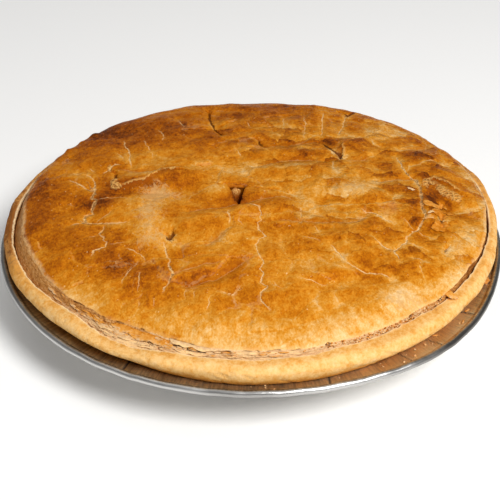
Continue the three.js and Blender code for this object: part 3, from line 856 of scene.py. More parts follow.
class LidFinish(Finish):
    """Egg-washed lid: mottled bake on overlapping plates with painted light and shade and painted glints,
    pale splits, slits painted dark as their shade, and a layered side with painted shade in its gaps.
    """

    def __init__(self, looks):
        super().__init__("browned_pastry")
        self.looks = looks
        self.even = self.stretched(1.0, 0.6, 1.0)
        self.blotch = self.grain(7, 5.0, 0.62, self.even, 0.6)
        self.speck = self.grain(1.8, 5.0, 0.72, self.even, 0.3)
        self.pore = self.grain(0.75, 2.0, 0.6, self.even)
        self.streak = self.grain(1.8, 3.0, 0.6, self.outward(0.2))
        self.tilt, self.lift = self.scales(9, self.shaken(7, 8, 3.0))
        self.scaly = self.field("scaly")
        self.bubble = self.fade(self.net(2.2, self.shaken(1.8, 2.4)), 0.0, 0.3)
        rough = self.speck.swing(0.9) + self.blotch.swing(0.6)
        self.froth = self.fade(self.field("froth") + rough * 1.1, 0.38, 0.6)
        self.wander = self.grain(2.0, 3.0, 0.62).swing(1.2) + self.grain(0.8, 2.0, 0.6).swing(0.7)
        self.mask_lines()

    def drawn_line(self, name, width, girth):
        """Mask of crisp lines from a signed distance and a reach held by the piece."""
        away = abs(self.field(name + "_side") + self.wander) / girth
        return self.fade(away, width, width * 0.35) * self.field(name + "_reach")

    def mask_lines(self):
        """Masks of the tears, creases, splits, hairlines and slits."""
        swell = self.fade(self.grain(3.0, 2.0), 0.3, 0.7) * 0.8 + 0.6
        broken = self.fade(self.grain(5, 2.0), 0.42, 0.56)
        torn = self.field("tear_side") + self.wander
        reach = self.field("tear_reach")
        # flap marks the pale torn edge, which also holds a painted highlight; under marks the painted shadow
        # below it
        self.flap = self.fade(torn, 1.5, 0.2) * self.fade(torn, -0.1, 0.1) * reach
        self.under = self.fade(torn, -4.6, -0.8) * self.fade(torn, 0.1, -0.1) * reach
        self.crease_shade = self.drawn_line("crease", 3.2, swell)
        girth = self.field("split_girth")
        self.wide = self.fade(girth, 1.2, 1.6)
        self.split = self.drawn_line("split", 0.47, swell * girth) * (broken * 0.4 + 0.6)
        core = self.drawn_line("split", 0.3, swell * girth) * self.fade(girth + broken * 0.35, 1.2, 1.6)
        self.core = core * self.fade(self.grain(1.7, 2.0), 0.42, 0.55)
        self.hair = self.drawn_line("hair", 0.35, swell) * (broken * 0.45 + 0.55)
        self.slit = self.drawn_line("slit", 0.7, swell * self.field("slit_girth"))

    def skin(self):
        """Mottled bake with scuffs and froth, painted light and shade on the plates, and painted glints."""
        looks = self.looks
        bake = self.field("bake") + self.blotch.swing(0.32) + self.speck.swing(0.68) + self.pore.swing(0.46)
        bake = bake + self.streak.swing(self.field("streaks"))
        # Painted light and shade on the plates: each is painted paler towards its near edge and the higher it
        # lifts, darker towards its far side
        bake = bake - (self.tilt * 0.05 + self.lift.swing(0.14) + 0.02) * self.scaly
        colour = self.ramp(bake, (
            (0.0, looks.cream), (0.18, looks.pale), (0.38, looks.gold), (0.58, looks.amber),
            (0.8, looks.brown), (1.0, looks.scorch_and_shade)))
        fibre = self.grain(2.6, 5.0, 0.78, self.even, 1.6)
        scuff = self.fade(self.field("scuff") * 0.8 + fibre.swing(1.8), 0.3, 0.6)
        # Painted glints: small pale spots mixed towards cream
        painted_glint = self.fade(self.grain(1.1, 1.0, 0.5, self.even), 0.74, 0.8)
        colour = self.mix(scuff * 0.65, colour, looks.scuffed)
        colour = self.mix(painted_glint * 0.7, colour, looks.cream)
        # Froth is paler, most of all on the raised rims of its bubbles as painted highlight
        return self.mix(self.froth * (self.bubble * -0.6 + 0.8), colour, looks.pale)

    def lined(self, colour):
        """A colour with the tears, creases, splits and slits drawn over it: pale splits, painted highlight
        and shadow at the tears, painted shade in the creases and near-black painted shade in the slits.
        """
        looks = self.looks
        inside = self.mix(self.wide * 0.5, looks.cream, looks.pale)
        for mask, drawn in (
                # Painted light and shade: the flap's highlight, the shadow under it, the shade in the
                # creases, and the slits painted near-black as their shade
                (self.flap * 0.6, looks.pale), (self.under * 0.7, looks.brown),
                (self.crease_shade * 0.4, looks.brown), (self.hair * 0.64, looks.cream),
                (self.split * 0.82, inside), (self.core * 0.75, looks.taupe),
                (self.slit * 0.9, looks.scorch_and_shade)):
            colour = self.mix(mask, colour, drawn)
        return colour

    def sided(self, colour):
        """A colour with the layered side, a painted highlight along its edge and painted shade in the gaps
        between its layers laid over it.
        """
        looks = self.looks
        layers = self.grain(1.2, 4.0, 0.7, self.stretched(0.3, 0.3, 3.0))
        crumb = self.grain(0.9, 3.0, 0.7)
        tone = self.field("side_tone") + layers.swing(1.1) + crumb.swing(self.field("side_crumb"))
        side = self.ramp(tone, (
            (0.0, looks.scorch_and_shade), (0.22, looks.umber), (0.46, looks.tan), (0.7, looks.crumbly),
            (1.0, looks.cream)))
        colour = self.mix(self.fade(self.field("flank"), 0.0, 0.05), colour, side)
        colour = self.mix(self.field("lip") * self.fade(self.speck, 0.35, 0.6) * 0.8, colour, looks.cream)
        fissure = self.field("fissure")
        return self.mix(fissure, colour, self.mix(self.fade(fissure, 0.55, 0.95), looks.umber, looks.scorch_and_shade))

    def vented(self, colour):
        """A colour with the wall of the vent laid over it: browned pastry, painted darker deeper down and
        near-black at the top of its back as painted shade.
        """
        looks, wall = self.looks, self.field("vent_wall")
        wall_bake_and_shade = self.mix(self.fade(wall, 0.3, 1.0), looks.amber, looks.brown)
        wall_bake_and_shade = self.mix(self.field("vent_back"), wall_bake_and_shade, looks.scorch_and_shade)
        return self.mix(self.fade(wall, 0.0, 0.1), colour, wall_bake_and_shade)

    def relief(self):
        """Normal with the fine grain, then plates and froth, then cracks and torn edges."""
        grain = self.bump(self.speck + self.pore * 0.6 + self.streak * 0.3, 0.3)
        plates = (self.tilt * 0.4 + self.lift.swing(0.8)) * self.scaly - self.bubble * self.froth * 0.4
        cracks = (self.split * 0.6 + self.core + self.hair * 0.4 + self.slit * 2.0 - self.flap) * -1.0
        return self.bump(cracks, 0.25, self.bump(plates, 1.0, grain))


def browned_finish(looks):
    """Material of the lid, from its skin outwards."""
    finish = LidFinish(looks)
    colour = finish.vented(finish.sided(finish.lined(finish.skin())))
    shine = finish.fade(finish.blotch, 0.2, 0.9) * 0.14 + 0.36
    return finish.surface(base_color=colour, roughness=shine, specular_IOR_level=0.06, normal=finish.relief())


def shortcrust_finish(looks):
    """Dry pale golden crust with fine upright mottling."""
    finish = Finish("shortcrust_pastry")
    cloud = finish.grain(6, 4.0, 0.6)
    upright = finish.grain(2.2, 4.0, 0.65, finish.stretched(1.0, 1.0, 0.5))
    speck = finish.grain(0.9, 3.0, 0.7)
    bake = finish.field("bake") + cloud.swing(0.8) + upright.swing(0.9) + speck.swing(0.6)
    colour = finish.ramp(bake, (
        (0.0, looks.cream), (0.28, looks.shortcrust), (0.55, looks.toasted), (0.78, looks.tan),
        (1.0, looks.umber)))
    edge = finish.field("rim_line") * finish.fade(speck, 0.3, 0.5)
    colour = finish.mix(edge * 0.8, colour, looks.froth)
    normal = finish.bump(speck + upright * 0.6, 0.3)
    return finish.surface(base_color=colour, roughness=0.75, specular_IOR_level=0.06, normal=normal)


def egg_finish(looks):
    """Set egg with browned flecks."""
    finish = Finish("set_egg")
    cloud = finish.grain(0.9, 4.0, 0.6)
    colour = finish.ramp(cloud, ((0.36, looks.brown), (0.56, looks.egg), (1.0, looks.cream)))
    # Painted shade: the egg is painted browner the deeper it lies below the lid
    colour = finish.mix(finish.fade(finish.field("depth"), 0.08, 0.26), colour, looks.brown)
    return finish.surface(
        base_color=colour, roughness=0.5, specular_IOR_level=0.4, normal=finish.bump(cloud, 0.4))


def foil_finish(looks):
    """Bright crinkled foil, brushed on the flange, with painted light: lighter and darker by the painted
    shine, and a warm tint on the flange that is a painted reflection of the crust.
    """
    finish = Finish("crinkled_foil")
    crinkle = finish.grain(2.4, 4.0, 0.65)
    brushed = finish.fade(finish.grain(0.7, 3.0, 0.6, finish.outward(0.1)), 0.36, 0.66)
    smear = finish.grain(11, 3.0)
    flat = finish.field("flat")
    # shine carries painted light and dark reflections as well as brushing and smears; the flange takes the
    # warm tint of the painted crust reflection
    shine = finish.field("shine") + brushed.swing(flat) * 0.36 + smear.swing(0.3)
    clean = finish.mix(shine, looks.dull_and_shaded_foil, looks.foil)
    reflection_tinted = finish.mix(shine, looks.dull_and_shaded_foil, looks.crust_reflection_foil)
    return finish.surface(
        base_color=finish.mix(flat * 0.8, clean, reflection_tinted), metallic=1.0,
        roughness=finish.fade(smear, 0.2, 0.8) * 0.12 + flat * 0.1 + 0.32,
        normal=finish.bump(crinkle * 0.5 + brushed * flat, 0.05))


def flake_finish(looks, name, middle):
    """Loose flakes and crumbs of pastry, as pale as each one's tone."""
    finish = Finish(name)
    cloud = finish.grain(1.6, 4.0, 0.65)
    tone = finish.field("tone") + cloud.swing(0.7)
    colour = finish.ramp(tone, (
        (0.0, looks.scorch_and_shade), (0.2, looks.umber), (0.42, looks.amber), (0.62, middle), (0.8, looks.crumbly),
        (1.0, looks.cream)))
    return finish.surface(
        base_color=colour, roughness=0.6, specular_IOR_level=0.1, normal=finish.bump(cloud, 0.2))


def curve_points(corners, share=0.25, rounds=2):
    """Rounds the corners of an open profile by cutting them."""
    points = [np.array(corner, float) for corner in corners]
    for _ in range(rounds):
        cut = [points[0]]
        for first, second in zip(points, points[1:]):
            cut.append(first + (second - first) * share)
            cut.append(second - (second - first) * share)
        cut.append(points[-1])
        points = cut
    return points


class PieOperator:
    """What every builder of the pie shares."""

    bl_options = {"REGISTER", "UNDO"}


class PIE_OT_foil_dish(PieOperator, bpy.types.Operator):
    """Makes the pleated foil dish with its flat flange and rolled edge"""

    bl_idname = "pie.foil_dish"
    bl_label = "Foil dish"

    STEPS = 1440
    BEAD_STEPS = 14
    FLANGE_STEPS = (1.2, 2.6, 4.2, 6.0, 8.0)
    SMALL_CREASES = 70
    CREASE_PIVOT = 6
    CREASE_WIDTH = 0.4
    CREASE_DEPTH = 0.35

    def profile(self, shape):
        """Rings of the dish: under the floor, out round the rolled edge and back over the flange."""
        bead_x = shape.dish_r - shape.bead
        bead_z = shape.dish_depth + shape.BEAD_LIFT
        under = shape.dish_depth - shape.FOIL
        middle = (shape.dish_floor + shape.dish_mouth) / 2
        floor, mouth = shape.dish_floor, shape.dish_mouth
        points = [(HUB_R, 0), (floor - 2, 0), (floor - 0.6, 0.3), (floor, 1.2)]
        points += [(middle + shape.FOIL, shape.dish_depth / 2), (mouth + shape.FOIL, under - 1.2)]
        points += [(mouth + 0.7, under - 0.4), (mouth + 1.6, under)]
        first = math.asin((bead_z - under) / shape.bead) - math.pi
        last = math.pi + math.asin((bead_z - shape.dish_depth) / shape.bead)
        for turn in np.linspace(first, last, self.BEAD_STEPS):
            points.append((bead_x + shape.bead * math.cos(turn), bead_z + shape.bead * math.sin(turn)))
        points += [(bead_x - shape.bead - back, shape.dish_depth) for back in self.FLANGE_STEPS]
        points += [(mouth + 1, shape.dish_depth), (mouth, shape.dish_depth - 1)]
        points += [(middle, shape.dish_depth / 2), (floor - 0.9, 1.5)]
        return points + [(floor - 2.4, shape.FOIL), (HUB_R, shape.FOIL)]

    def across(self, shape, angle, radius, middle, lean):
        """Distance along the edge from a crease that leans across the flange."""
        along = (np.mod(angle - middle + math.pi, math.tau) - math.pi) * shape.dish_r
        return along - lean * (radius - shape.dish_r + self.CREASE_PIVOT)

    def small_creases(self, shape, angle, radius):
        """Rise of the seeded small creases."""
        draws = np.random.default_rng(21)
        rise = np.zeros(angle.shape)
        for _ in range(self.SMALL_CREASES):
            middle, lean = draws.uniform(-math.pi, math.pi), draws.uniform(-0.4, 0.4)
            wide, high = draws.uniform(0.35, 0.8), draws.uniform(-0.14, 0.18)
            rise += high * bell(self.across(shape, angle, radius, middle, lean), wide)
        return rise

    def execute(self, context):
        shape = Shape(context.scene.pie_sizes)
        chain = Chain()
        chain.turn(self.profile(shape), self.STEPS)
        dish = chain.piece("crinkled_dish")
        x, y, z = places(dish).T
        radius, angle = np.hypot(x, y), np.arctan2(y, x)
        depth, roll = shape.dish_depth, shape.dish_r - 2 * shape.bead
        on_wall = smooth(0.5, 5, z) * (1 - smooth(depth - 3.5, depth - 1, z))
        on_flange = smooth(shape.dish_mouth + 1, shape.dish_mouth + 4, radius)
        on_bead = smooth(roll, roll + 1, radius)
        circle_x, circle_y = np.cos(angle) * shape.dish_r, np.sin(angle) * shape.dish_r
        uneven = 0.35 * SWELL.layers(circle_x, circle_y, 14, 2)
        pleat = np.abs(np.sin(shape.pleats / 2 * angle + uneven)) ** 0.7 * 2 - 1.2
        radius_out = radius + on_flange * (shape.dish_edge(angle) - shape.dish_r) + 0.55 * pleat * on_wall
        crease = np.zeros(radius.shape)
        for middle, lean in FLANGE_CREASES:
            away = self.across(shape, angle, radius, math.radians(middle), lean)
            crease = np.maximum(crease, bell(away, self.CREASE_WIDTH) * on_flange * (1 - on_bead))
        up = 0.1 * np.cos(shape.pleats / 2 * angle) * on_flange - self.CREASE_DEPTH * crease
        up += self.small_creases(shape, angle, radius) * on_flange * (1 - 0.6 * on_bead)
        radius_out += 0.06 * CRINKLE.layers(circle_x, circle_y, 5.2, 2) * on_bead
        up += 0.06 * CRINKLE.layers(circle_y, circle_x, 4.1, 2) * on_bead
        place(dish, around(radius_out, angle, z + up), DISH_MIDDLE)
        # The foil's shine is painted light: lighter on the lit stretch of the flange, darker on stretches of
        # the rolled edge and on its crown as painted shade and dark reflection, and darker in the flange
        # creases as painted shade
        rolled = smooth(shape.dish_r - 1.3 * shape.bead, shape.dish_r - 0.6 * shape.bead, radius)
        on_flat = 0.58 + arcs(angle, FLANGE_PAINTED_LIGHT)
        on_roll = 0.7 - arcs(angle, ROLL_PAINTED_SHADE)
        crown = bell(radius - shape.dish_r + 1.3 * shape.bead, 0.7 * shape.bead) * arcs(angle, CROWN_PAINTED_SHADE)
        shine = on_flat + (on_roll - on_flat) * rolled - 0.9 * crease - crown
        write_fields(dish, shine=shine, flat=on_flange * (1 - rolled))
        hand_over(dish, foil_finish(context.scene.pie_looks), "foil_dish")
        return {"FINISHED"}


class PIE_OT_pastry_case(PieOperator, bpy.types.Operator):
    """Makes the shortcrust bowl with its rounded crust"""

    bl_idname = "pie.pastry_case"
    bl_label = "Pastry case"

    STEPS = 900
    FLOOR_R = 80.5
    MOUTH_R = 94.3
    FLOOR_Z = 0.9
    WALL = 5.2

    def profile(self, shape):
        """Rings of the case: radius, height, shares that follow the foot, bulge and rim, and fraying."""
        crust = curve_points((
            (shape.foot_r - 3.0, shape.foot_z, 0.3, 0, 0, 0),
            (shape.foot_r - 0.6, shape.foot_z, 1, 0, 0, 0),
            (shape.foot_r + 0.4, shape.foot_z + 0.9, 1, 0, 0, 0),
            (shape.foot_r + 1.8, shape.foot_z + 2.6, 0.6, 0.4, 0, 0),
            (shape.bulge_r + 0.2, shape.foot_z + 5.0, 0, 1, 0, 0),
            (shape.bulge_r + 0.2, shape.rim_z - 1.9, 0, 1, 0, 0),
            (shape.bulge_r - 1.8, shape.rim_z + 0.1, 0, 1, 0, 0.1),
            (shape.rim_r + 2.0, shape.rim_z + 0.35, 0, 0.3, 0.7, 0.4),
            (shape.rim_r + 0.7, shape.rim_z + 0.35, 0, 0, 1, 0.8),
            (shape.rim_r, shape.rim_z + 0.3, 0, 0, 1, 1),
            (shape.rim_r - 0.25, shape.rim_z - 0.2, 0, 0, 1, 1),
            (shape.rim_r - 0.3, shape.rim_z - 1.0, 0, 0, 1, 0.8),
            (shape.rim_r - 0.2, shape.rim_z - 2.2, 0, 0, 1, 0.5),
            (shape.rim_r - 0.3, shape.ledge_z + 0.2, 0, 0, 1, 0)))
        floor_z, inner_r = self.FLOOR_Z, self.FLOOR_R + 1.5
        under = [(HUB_R, floor_z), (self.FLOOR_R, floor_z), (inner_r, floor_z + 1.5)]
        under += [(self.MOUTH_R, shape.foot_z - 1.6), (self.MOUTH_R + 1.4, shape.foot_z)]
        inside = [(shape.rim_r - 1.6, shape.ledge_z), (self.MOUTH_R - self.WALL + 1.6, shape.ledge_z)]
        inside += [(inner_r - self.WALL, floor_z + self.WALL), (HUB_R, floor_z + self.WALL)]
        still = (0, 0, 0, 0)
        return np.array([(*ring, *still) for ring in under] + [tuple(p) for p in crust]
                        + [(*ring, *still) for ring in inside])

    def execute(self, context):
        shape = Shape(context.scene.pie_sizes)
        profile = self.profile(shape)
        chain = Chain()
        chain.turn(profile[:, :2], self.STEPS)
        case = chain.piece("crust")
        x, y, _ = places(case).T
        angle = np.arctan2(y, x)
        radius, z, foot, bulge, rim, frayed = profile[read_field(case, "row").round().astype(int)].T
        shift = foot * (shape.crust_foot(angle) - shape.foot_r)
        shift += bulge * (shape.crust_bulge(angle) - shape.bulge_r)
        shift += rim * (shape.crust_rim(angle) - shape.rim_r)
        circle_x, circle_y = np.cos(angle) * radius, np.sin(angle) * radius
        seen = np.clip(bulge + rim + frayed + 0.6 * foot, 0, 1)
        knead = 0.2 * SWELL.layers(circle_x, circle_y + 2.2 * z, 9, 3)
        pits = -0.4 * smooth(0.45, 0.85, FINE.layers(circle_x + 1.7 * z, circle_y + 1.3 * z, 2.6, 2))
        fray = frayed * RAGGED.layers(circle_x, circle_y, 3.0, 4)
        radius_out = radius + shift + (knead + pits) * seen - 0.15 * fray
        crest = np.clip(frayed * 2 + bulge * smooth(shape.rim_z - 2, shape.rim_z, z), 0, 1)
        up = (shape.rim_lift(angle) + 0.14 * SWELL.layers(circle_y, circle_x, 6, 3)) * crest + 0.1 * fray
        place(case, around(radius_out, angle, z + up), PIE_MIDDLE)
        # Painted shade on the crust: darker towards its foot, on the inner face of its rim in the channel by
        # the lid, and on its shaded stretches
        bake = 0.3 + 0.4 * (1 - smooth(shape.foot_z + 0.2, shape.foot_z + 4.5, z))
        bake += 0.35 * rim * (1 - frayed) + arcs(angle, CRUST_PAINTED_SHADE)
        write_fields(case, bake=bake, rim_line=smooth(0.75, 1, frayed))
        hand_over(case, shortcrust_finish(context.scene.pie_looks), "pastry_case")
        return {"FINISHED"}


class PIE_OT_filling(PieOperator, bpy.types.Operator):
    """Makes the set filling and the lump of it that shows in the vent"""

    bl_idname = "pie.filling"
    bl_label = "Filling"

    STEPS = 120
    FLOOR_Z = 6.5
    FLOOR_R = 76.4
    TOP_R = 89.9
    LUMP_R = 1.8
    LUMP_TOP = 44.4
    LUMP_BACK = 2.3
    LUMP_LEFT = 0.5

    def execute(self, context):
        shape = Shape(context.scene.pie_sizes)
        chain = Chain()
        chain.turn([(HUB_R, self.FLOOR_Z), (self.FLOOR_R, self.FLOOR_Z), (self.TOP_R, shape.ledge_z),
                    (self.TOP_R / 2, shape.ledge_z), (HUB_R, shape.ledge_z)], self.STEPS)
        middle = Vector(((VENT[0][0] + VENT[2][0]) / 2 - self.LUMP_LEFT, VENT[0][1] - self.LUMP_BACK, 0))
        lump = bmesh.ops.create_icosphere(chain.bm, subdivisions=5, radius=self.LUMP_R)["verts"]
        for vert in lump:
            end = self.LUMP_TOP - self.LUMP_R if vert.co.z > 0 else shape.ledge_z - 1 + self.LUMP_R
            vert.co += middle + Vector((0, 0, end))
        filling = chain.piece("set_filling")
        spots = places(filling)
        x, y, z = spots.T
        up = smooth(shape.ledge_z + 0.5, shape.ledge_z + 3, z)
        z += (0.5 * FINE.layers(x, y, 1.6, 2) + 0.4 * FINE.layers(x, y, 0.7, 2)) * up
        x += 0.5 * FINE.layers(y, z, 1.6, 2) * up
        place(filling, spots, PIE_MIDDLE)
        # depth makes the egg browner deeper in the vent, as painted shade
        write_fields(filling, depth=(self.LUMP_TOP - z) / (self.LUMP_TOP - shape.ledge_z))
        hand_over(filling, egg_finish(context.scene.pie_looks), "filling")
        return {"FINISHED"}


class LidSkin:
    """Relief, bake with painted shade, and drawn lines of the top of the lid, by places from the middle of
    the pie.
    """

    PUFFS = 190
    PUFF_NET = 112
    PUFF_LIFT = 0.45
    HELD_EDGE = (0.93, 1.0)

    # Drawn lines with the length in millimetres over which each end fades
    LINES = (
        ("split", SPLITS, 4), ("hair", HAIRLINES, 4), ("crease", CREASES, 6), ("slit", SLITS, 3),
        ("tear", TEARS, 3))

    def relief(self, x, y):
        """Height of the unevenness, distance from the nearest crease, and the lines to draw."""
        wx = x + 0.5 * WARP_X.layers(x, y, 6, 2) + 0.3 * WARP_X.layers(y, x, 2.4, 2)
        wy = y + 0.5 * WARP_Y.layers(x, y, 6, 2) + 0.3 * WARP_Y.layers(y, x, 2.4, 2)
        fields = {}
        for name, lines, taper in self.LINES:
            fields[name + "_side"], fields[name + "_reach"] = line_field(wx, wy, lines, taper)
        split, hair, crease, slit = (np.abs(fields[name + "_side"]) for name, _, _ in self.LINES[:4])
        tear, froth = fields["tear_side"], patched(x, y, FROTH)
        seam, plate = self.plates(x, y)
        puffed = np.minimum(np.minimum(split, crease), np.minimum(hair + 1, slit))
        puffed = np.minimum(puffed, seam + 1)
        height = swells(x, y) + 0.9 * (1 - np.exp(-puffed / 3.5)) - 0.7 + plate
        height += 0.25 * SWELL.layers(wx, wy, 11, 3) + 0.2 * FINE.layers(wx, wy, 3.2, 3)
        height += 0.18 * (0.5 - np.abs(RAGGED.layers(wx, wy, 8, 3)))
        height -= 0.2 * np.exp(-split / 0.8) + 0.5 * np.exp(-crease / 1.2) + 0.12 * np.exp(-hair / 0.8)
        height += 0.9 * np.exp(-np.abs(tear) / 4) * (tear > 0) - 0.9 * bell(slit, 0.8)
        height += 0.5 * smooth(0.35, 0.75, froth)
        height -= Shape.VENT_DIP * np.exp(-vent_distance(x, y) / 2.5)
        thin = crease < hair
        hair_side = np.where(thin, fields["crease_side"], fields["hair_side"])
        hair_reach = np.where(thin, 0.4 * fields["crease_reach"], fields["hair_reach"])
        plated = seam < np.abs(hair_side)
        fields["hair_side"] = np.where(plated, seam, hair_side)
        fields["hair_reach"] = np.where(plated, 0.25 * (seam < LINE_REACH), hair_reach)
        fields["split_girth"] = 1 + patched(x, y, WIDE_SPLITS)
        fields["slit_girth"] = 1 + patched(x, y, WIDE_SLITS)
        fields["froth"] = froth
        return height, puffed, fields

    def plates(self, x, y):
        """Distance to the borders of a net of puffed plates, far where it fades, and each plate's lift."""
        draws = np.random.default_rng(41)
        spots = draws.uniform(-self.PUFF_NET, self.PUFF_NET, (self.PUFFS, 2))
        lifts = draws.uniform(-self.PUFF_LIFT, self.PUFF_LIFT, self.PUFFS)
        wx = x + 4 * WARP_X.layers(x, y, 18, 3)
        wy = y + 4 * WARP_Y.layers(x, y, 18, 3)
        first = np.full(x.shape, LINE_FAR)
        second, lift = first.copy(), np.zeros(x.shape)
        for (px, py), high in zip(spots, lifts):
            away = np.hypot((wx - px) / 1.2, wy - py)
            nearer = away < first
            second = np.where(nearer, first, np.minimum(second, away))
            first = np.where(nearer, away, first)
            lift = np.where(nearer, high, lift)
        seen = smooth(-0.25, 0.35, MOTTLE.layers(x, y, 30, 2) + 0.5 * smooth(20, 70, x + 0.4 * y) - 0.15)
        return (second - first) / 2 + 6 * (1 - seen), lift * seen

    def crown(self, shape, y, share, height):
        """Height of the dome with its relief, which dies out at the edge."""
        return shape.lid_dome(y, share) + height * (1 - smooth(*self.HELD_EDGE, share))

    @staticmethod
    def browning_and_shade(x, y, share, angle, puffed, slope):
        """How brown the lid is baked, from about 0 to 1, with painted shade: darker on slopes that rise
        towards the back and face the camera, and at the edge.
        """
        bake = 0.5 + 0.12 * MOTTLE.layers(x, y, 22, 3) + 0.06 * FINE.layers(x, y, 5, 2)
        rounded = 0.1 + 0.18 * smooth(0, 50, x)
        bake += rounded * (smooth(0.3, 4.5, puffed) - 0.6) + 0.25 * np.exp(-vent_distance(x, y) / 1.5)
        # Painted shade: slopes that rise towards the back face the camera and are painted darker
        bake += 0.32 * np.clip(slope, -0.4, 0.6)
        bake += patched(x, y, BAKE_PATCHES)
        return bake + smooth(0.82, 0.98, share) * arcs(angle, EDGE_BAKE_AND_SHADE)

    @staticmethod
    def scaling(x, y):
        """How far the skin lies in overlapping plates: most at the right and at the back."""
        near, far = smooth(-72, -30, y), smooth(70, 95, y)
        return (0.25 + 0.75 * smooth(-20, 50, x + 0.5 * y)) * (0.15 + 0.85 * near) * (1 - 0.6 * far)


class LidSide:
    """Layers, cracks and tone of the side of the lid, by angle and share down the side."""

    LAYERS = 5
    CRACK_WIDTH = 0.38
    POCKET_WIDTH = 1.3

    def __init__(self, shape, angle, share):
        self.angle = angle
        self.share = share
        self.flaky = arc(angle, -108, 26)
        self.crumbly = arc(angle, -58, 16)
        line_x, line_y = np.cos(angle) * SIDE_R, np.sin(angle) * SIDE_R
        phase = share * self.LAYERS + 0.7 * RAGGED.layers(line_x, line_y, 9, 2)
        self.layer = np.abs(np.mod(phase, 1) - 0.5) * 2 - 0.5
        self.torn = RAGGED.layers(line_x + 40 * share, line_y - 30 * share, 2.4, 3)
        self.along = np.degrees(angle) * SIDE_SCALE
        self.down = share * shape.FLANK + 0.25 * self.torn
        seen = smooth(-0.3, 0.2, RAGGED.layers(self.along, 3 * self.down, 4.5, 2))
        self.cracks = self.mask(SIDE_CRACKS, self.CRACK_WIDTH) * seen
        self.pockets = self.mask(SIDE_POCKETS, self.POCKET_WIDTH)

    def mask(self, lines, width):
        """Mask of lines that are given by angle and share down the side."""
        unrolled = [[(turn * SIDE_SCALE, share * Shape.FLANK) for turn, share in line] for line in lines]
        away, reach = line_field(self.along, self.down, unrolled, 1.2)
        return bell(away, width * (1 + 0.35 * np.clip(self.torn, -1, 1))) * (reach > 0)

    def loose(self):
        """How far the layers stand out and the cracks go in."""
        ragged = self.layer + 0.8 * self.torn
        out = (0.1 + 0.5 * self.flaky + 0.3 * self.crumbly) * ragged + 0.3 * self.crumbly * self.torn
        return out * np.sin(np.pi * self.share) ** 0.6 - 1.2 * self.cracks - 2.2 * self.pockets

    def tone(self):
        """How pale the side is."""
        tone = 0.3 + arcs(self.angle, SIDE_TONES) + 0.1 * self.torn * (self.flaky + self.crumbly)
        return tone + (0.45 * smooth(0.3, 0.6, self.share) + 0.05) * arc(self.angle, -121, 17)

    def crumb(self):
        """How coarse the crumb of the side looks."""
        return 0.5 + 1.1 * self.crumbly + 0.9 * arc(self.angle, -122, 16)

    def fissure(self):
        """Mask of the gaps between the layers, which are painted dark as the shade in them."""
        return np.maximum(0.48 * self.cracks, 0.9 * self.pockets)


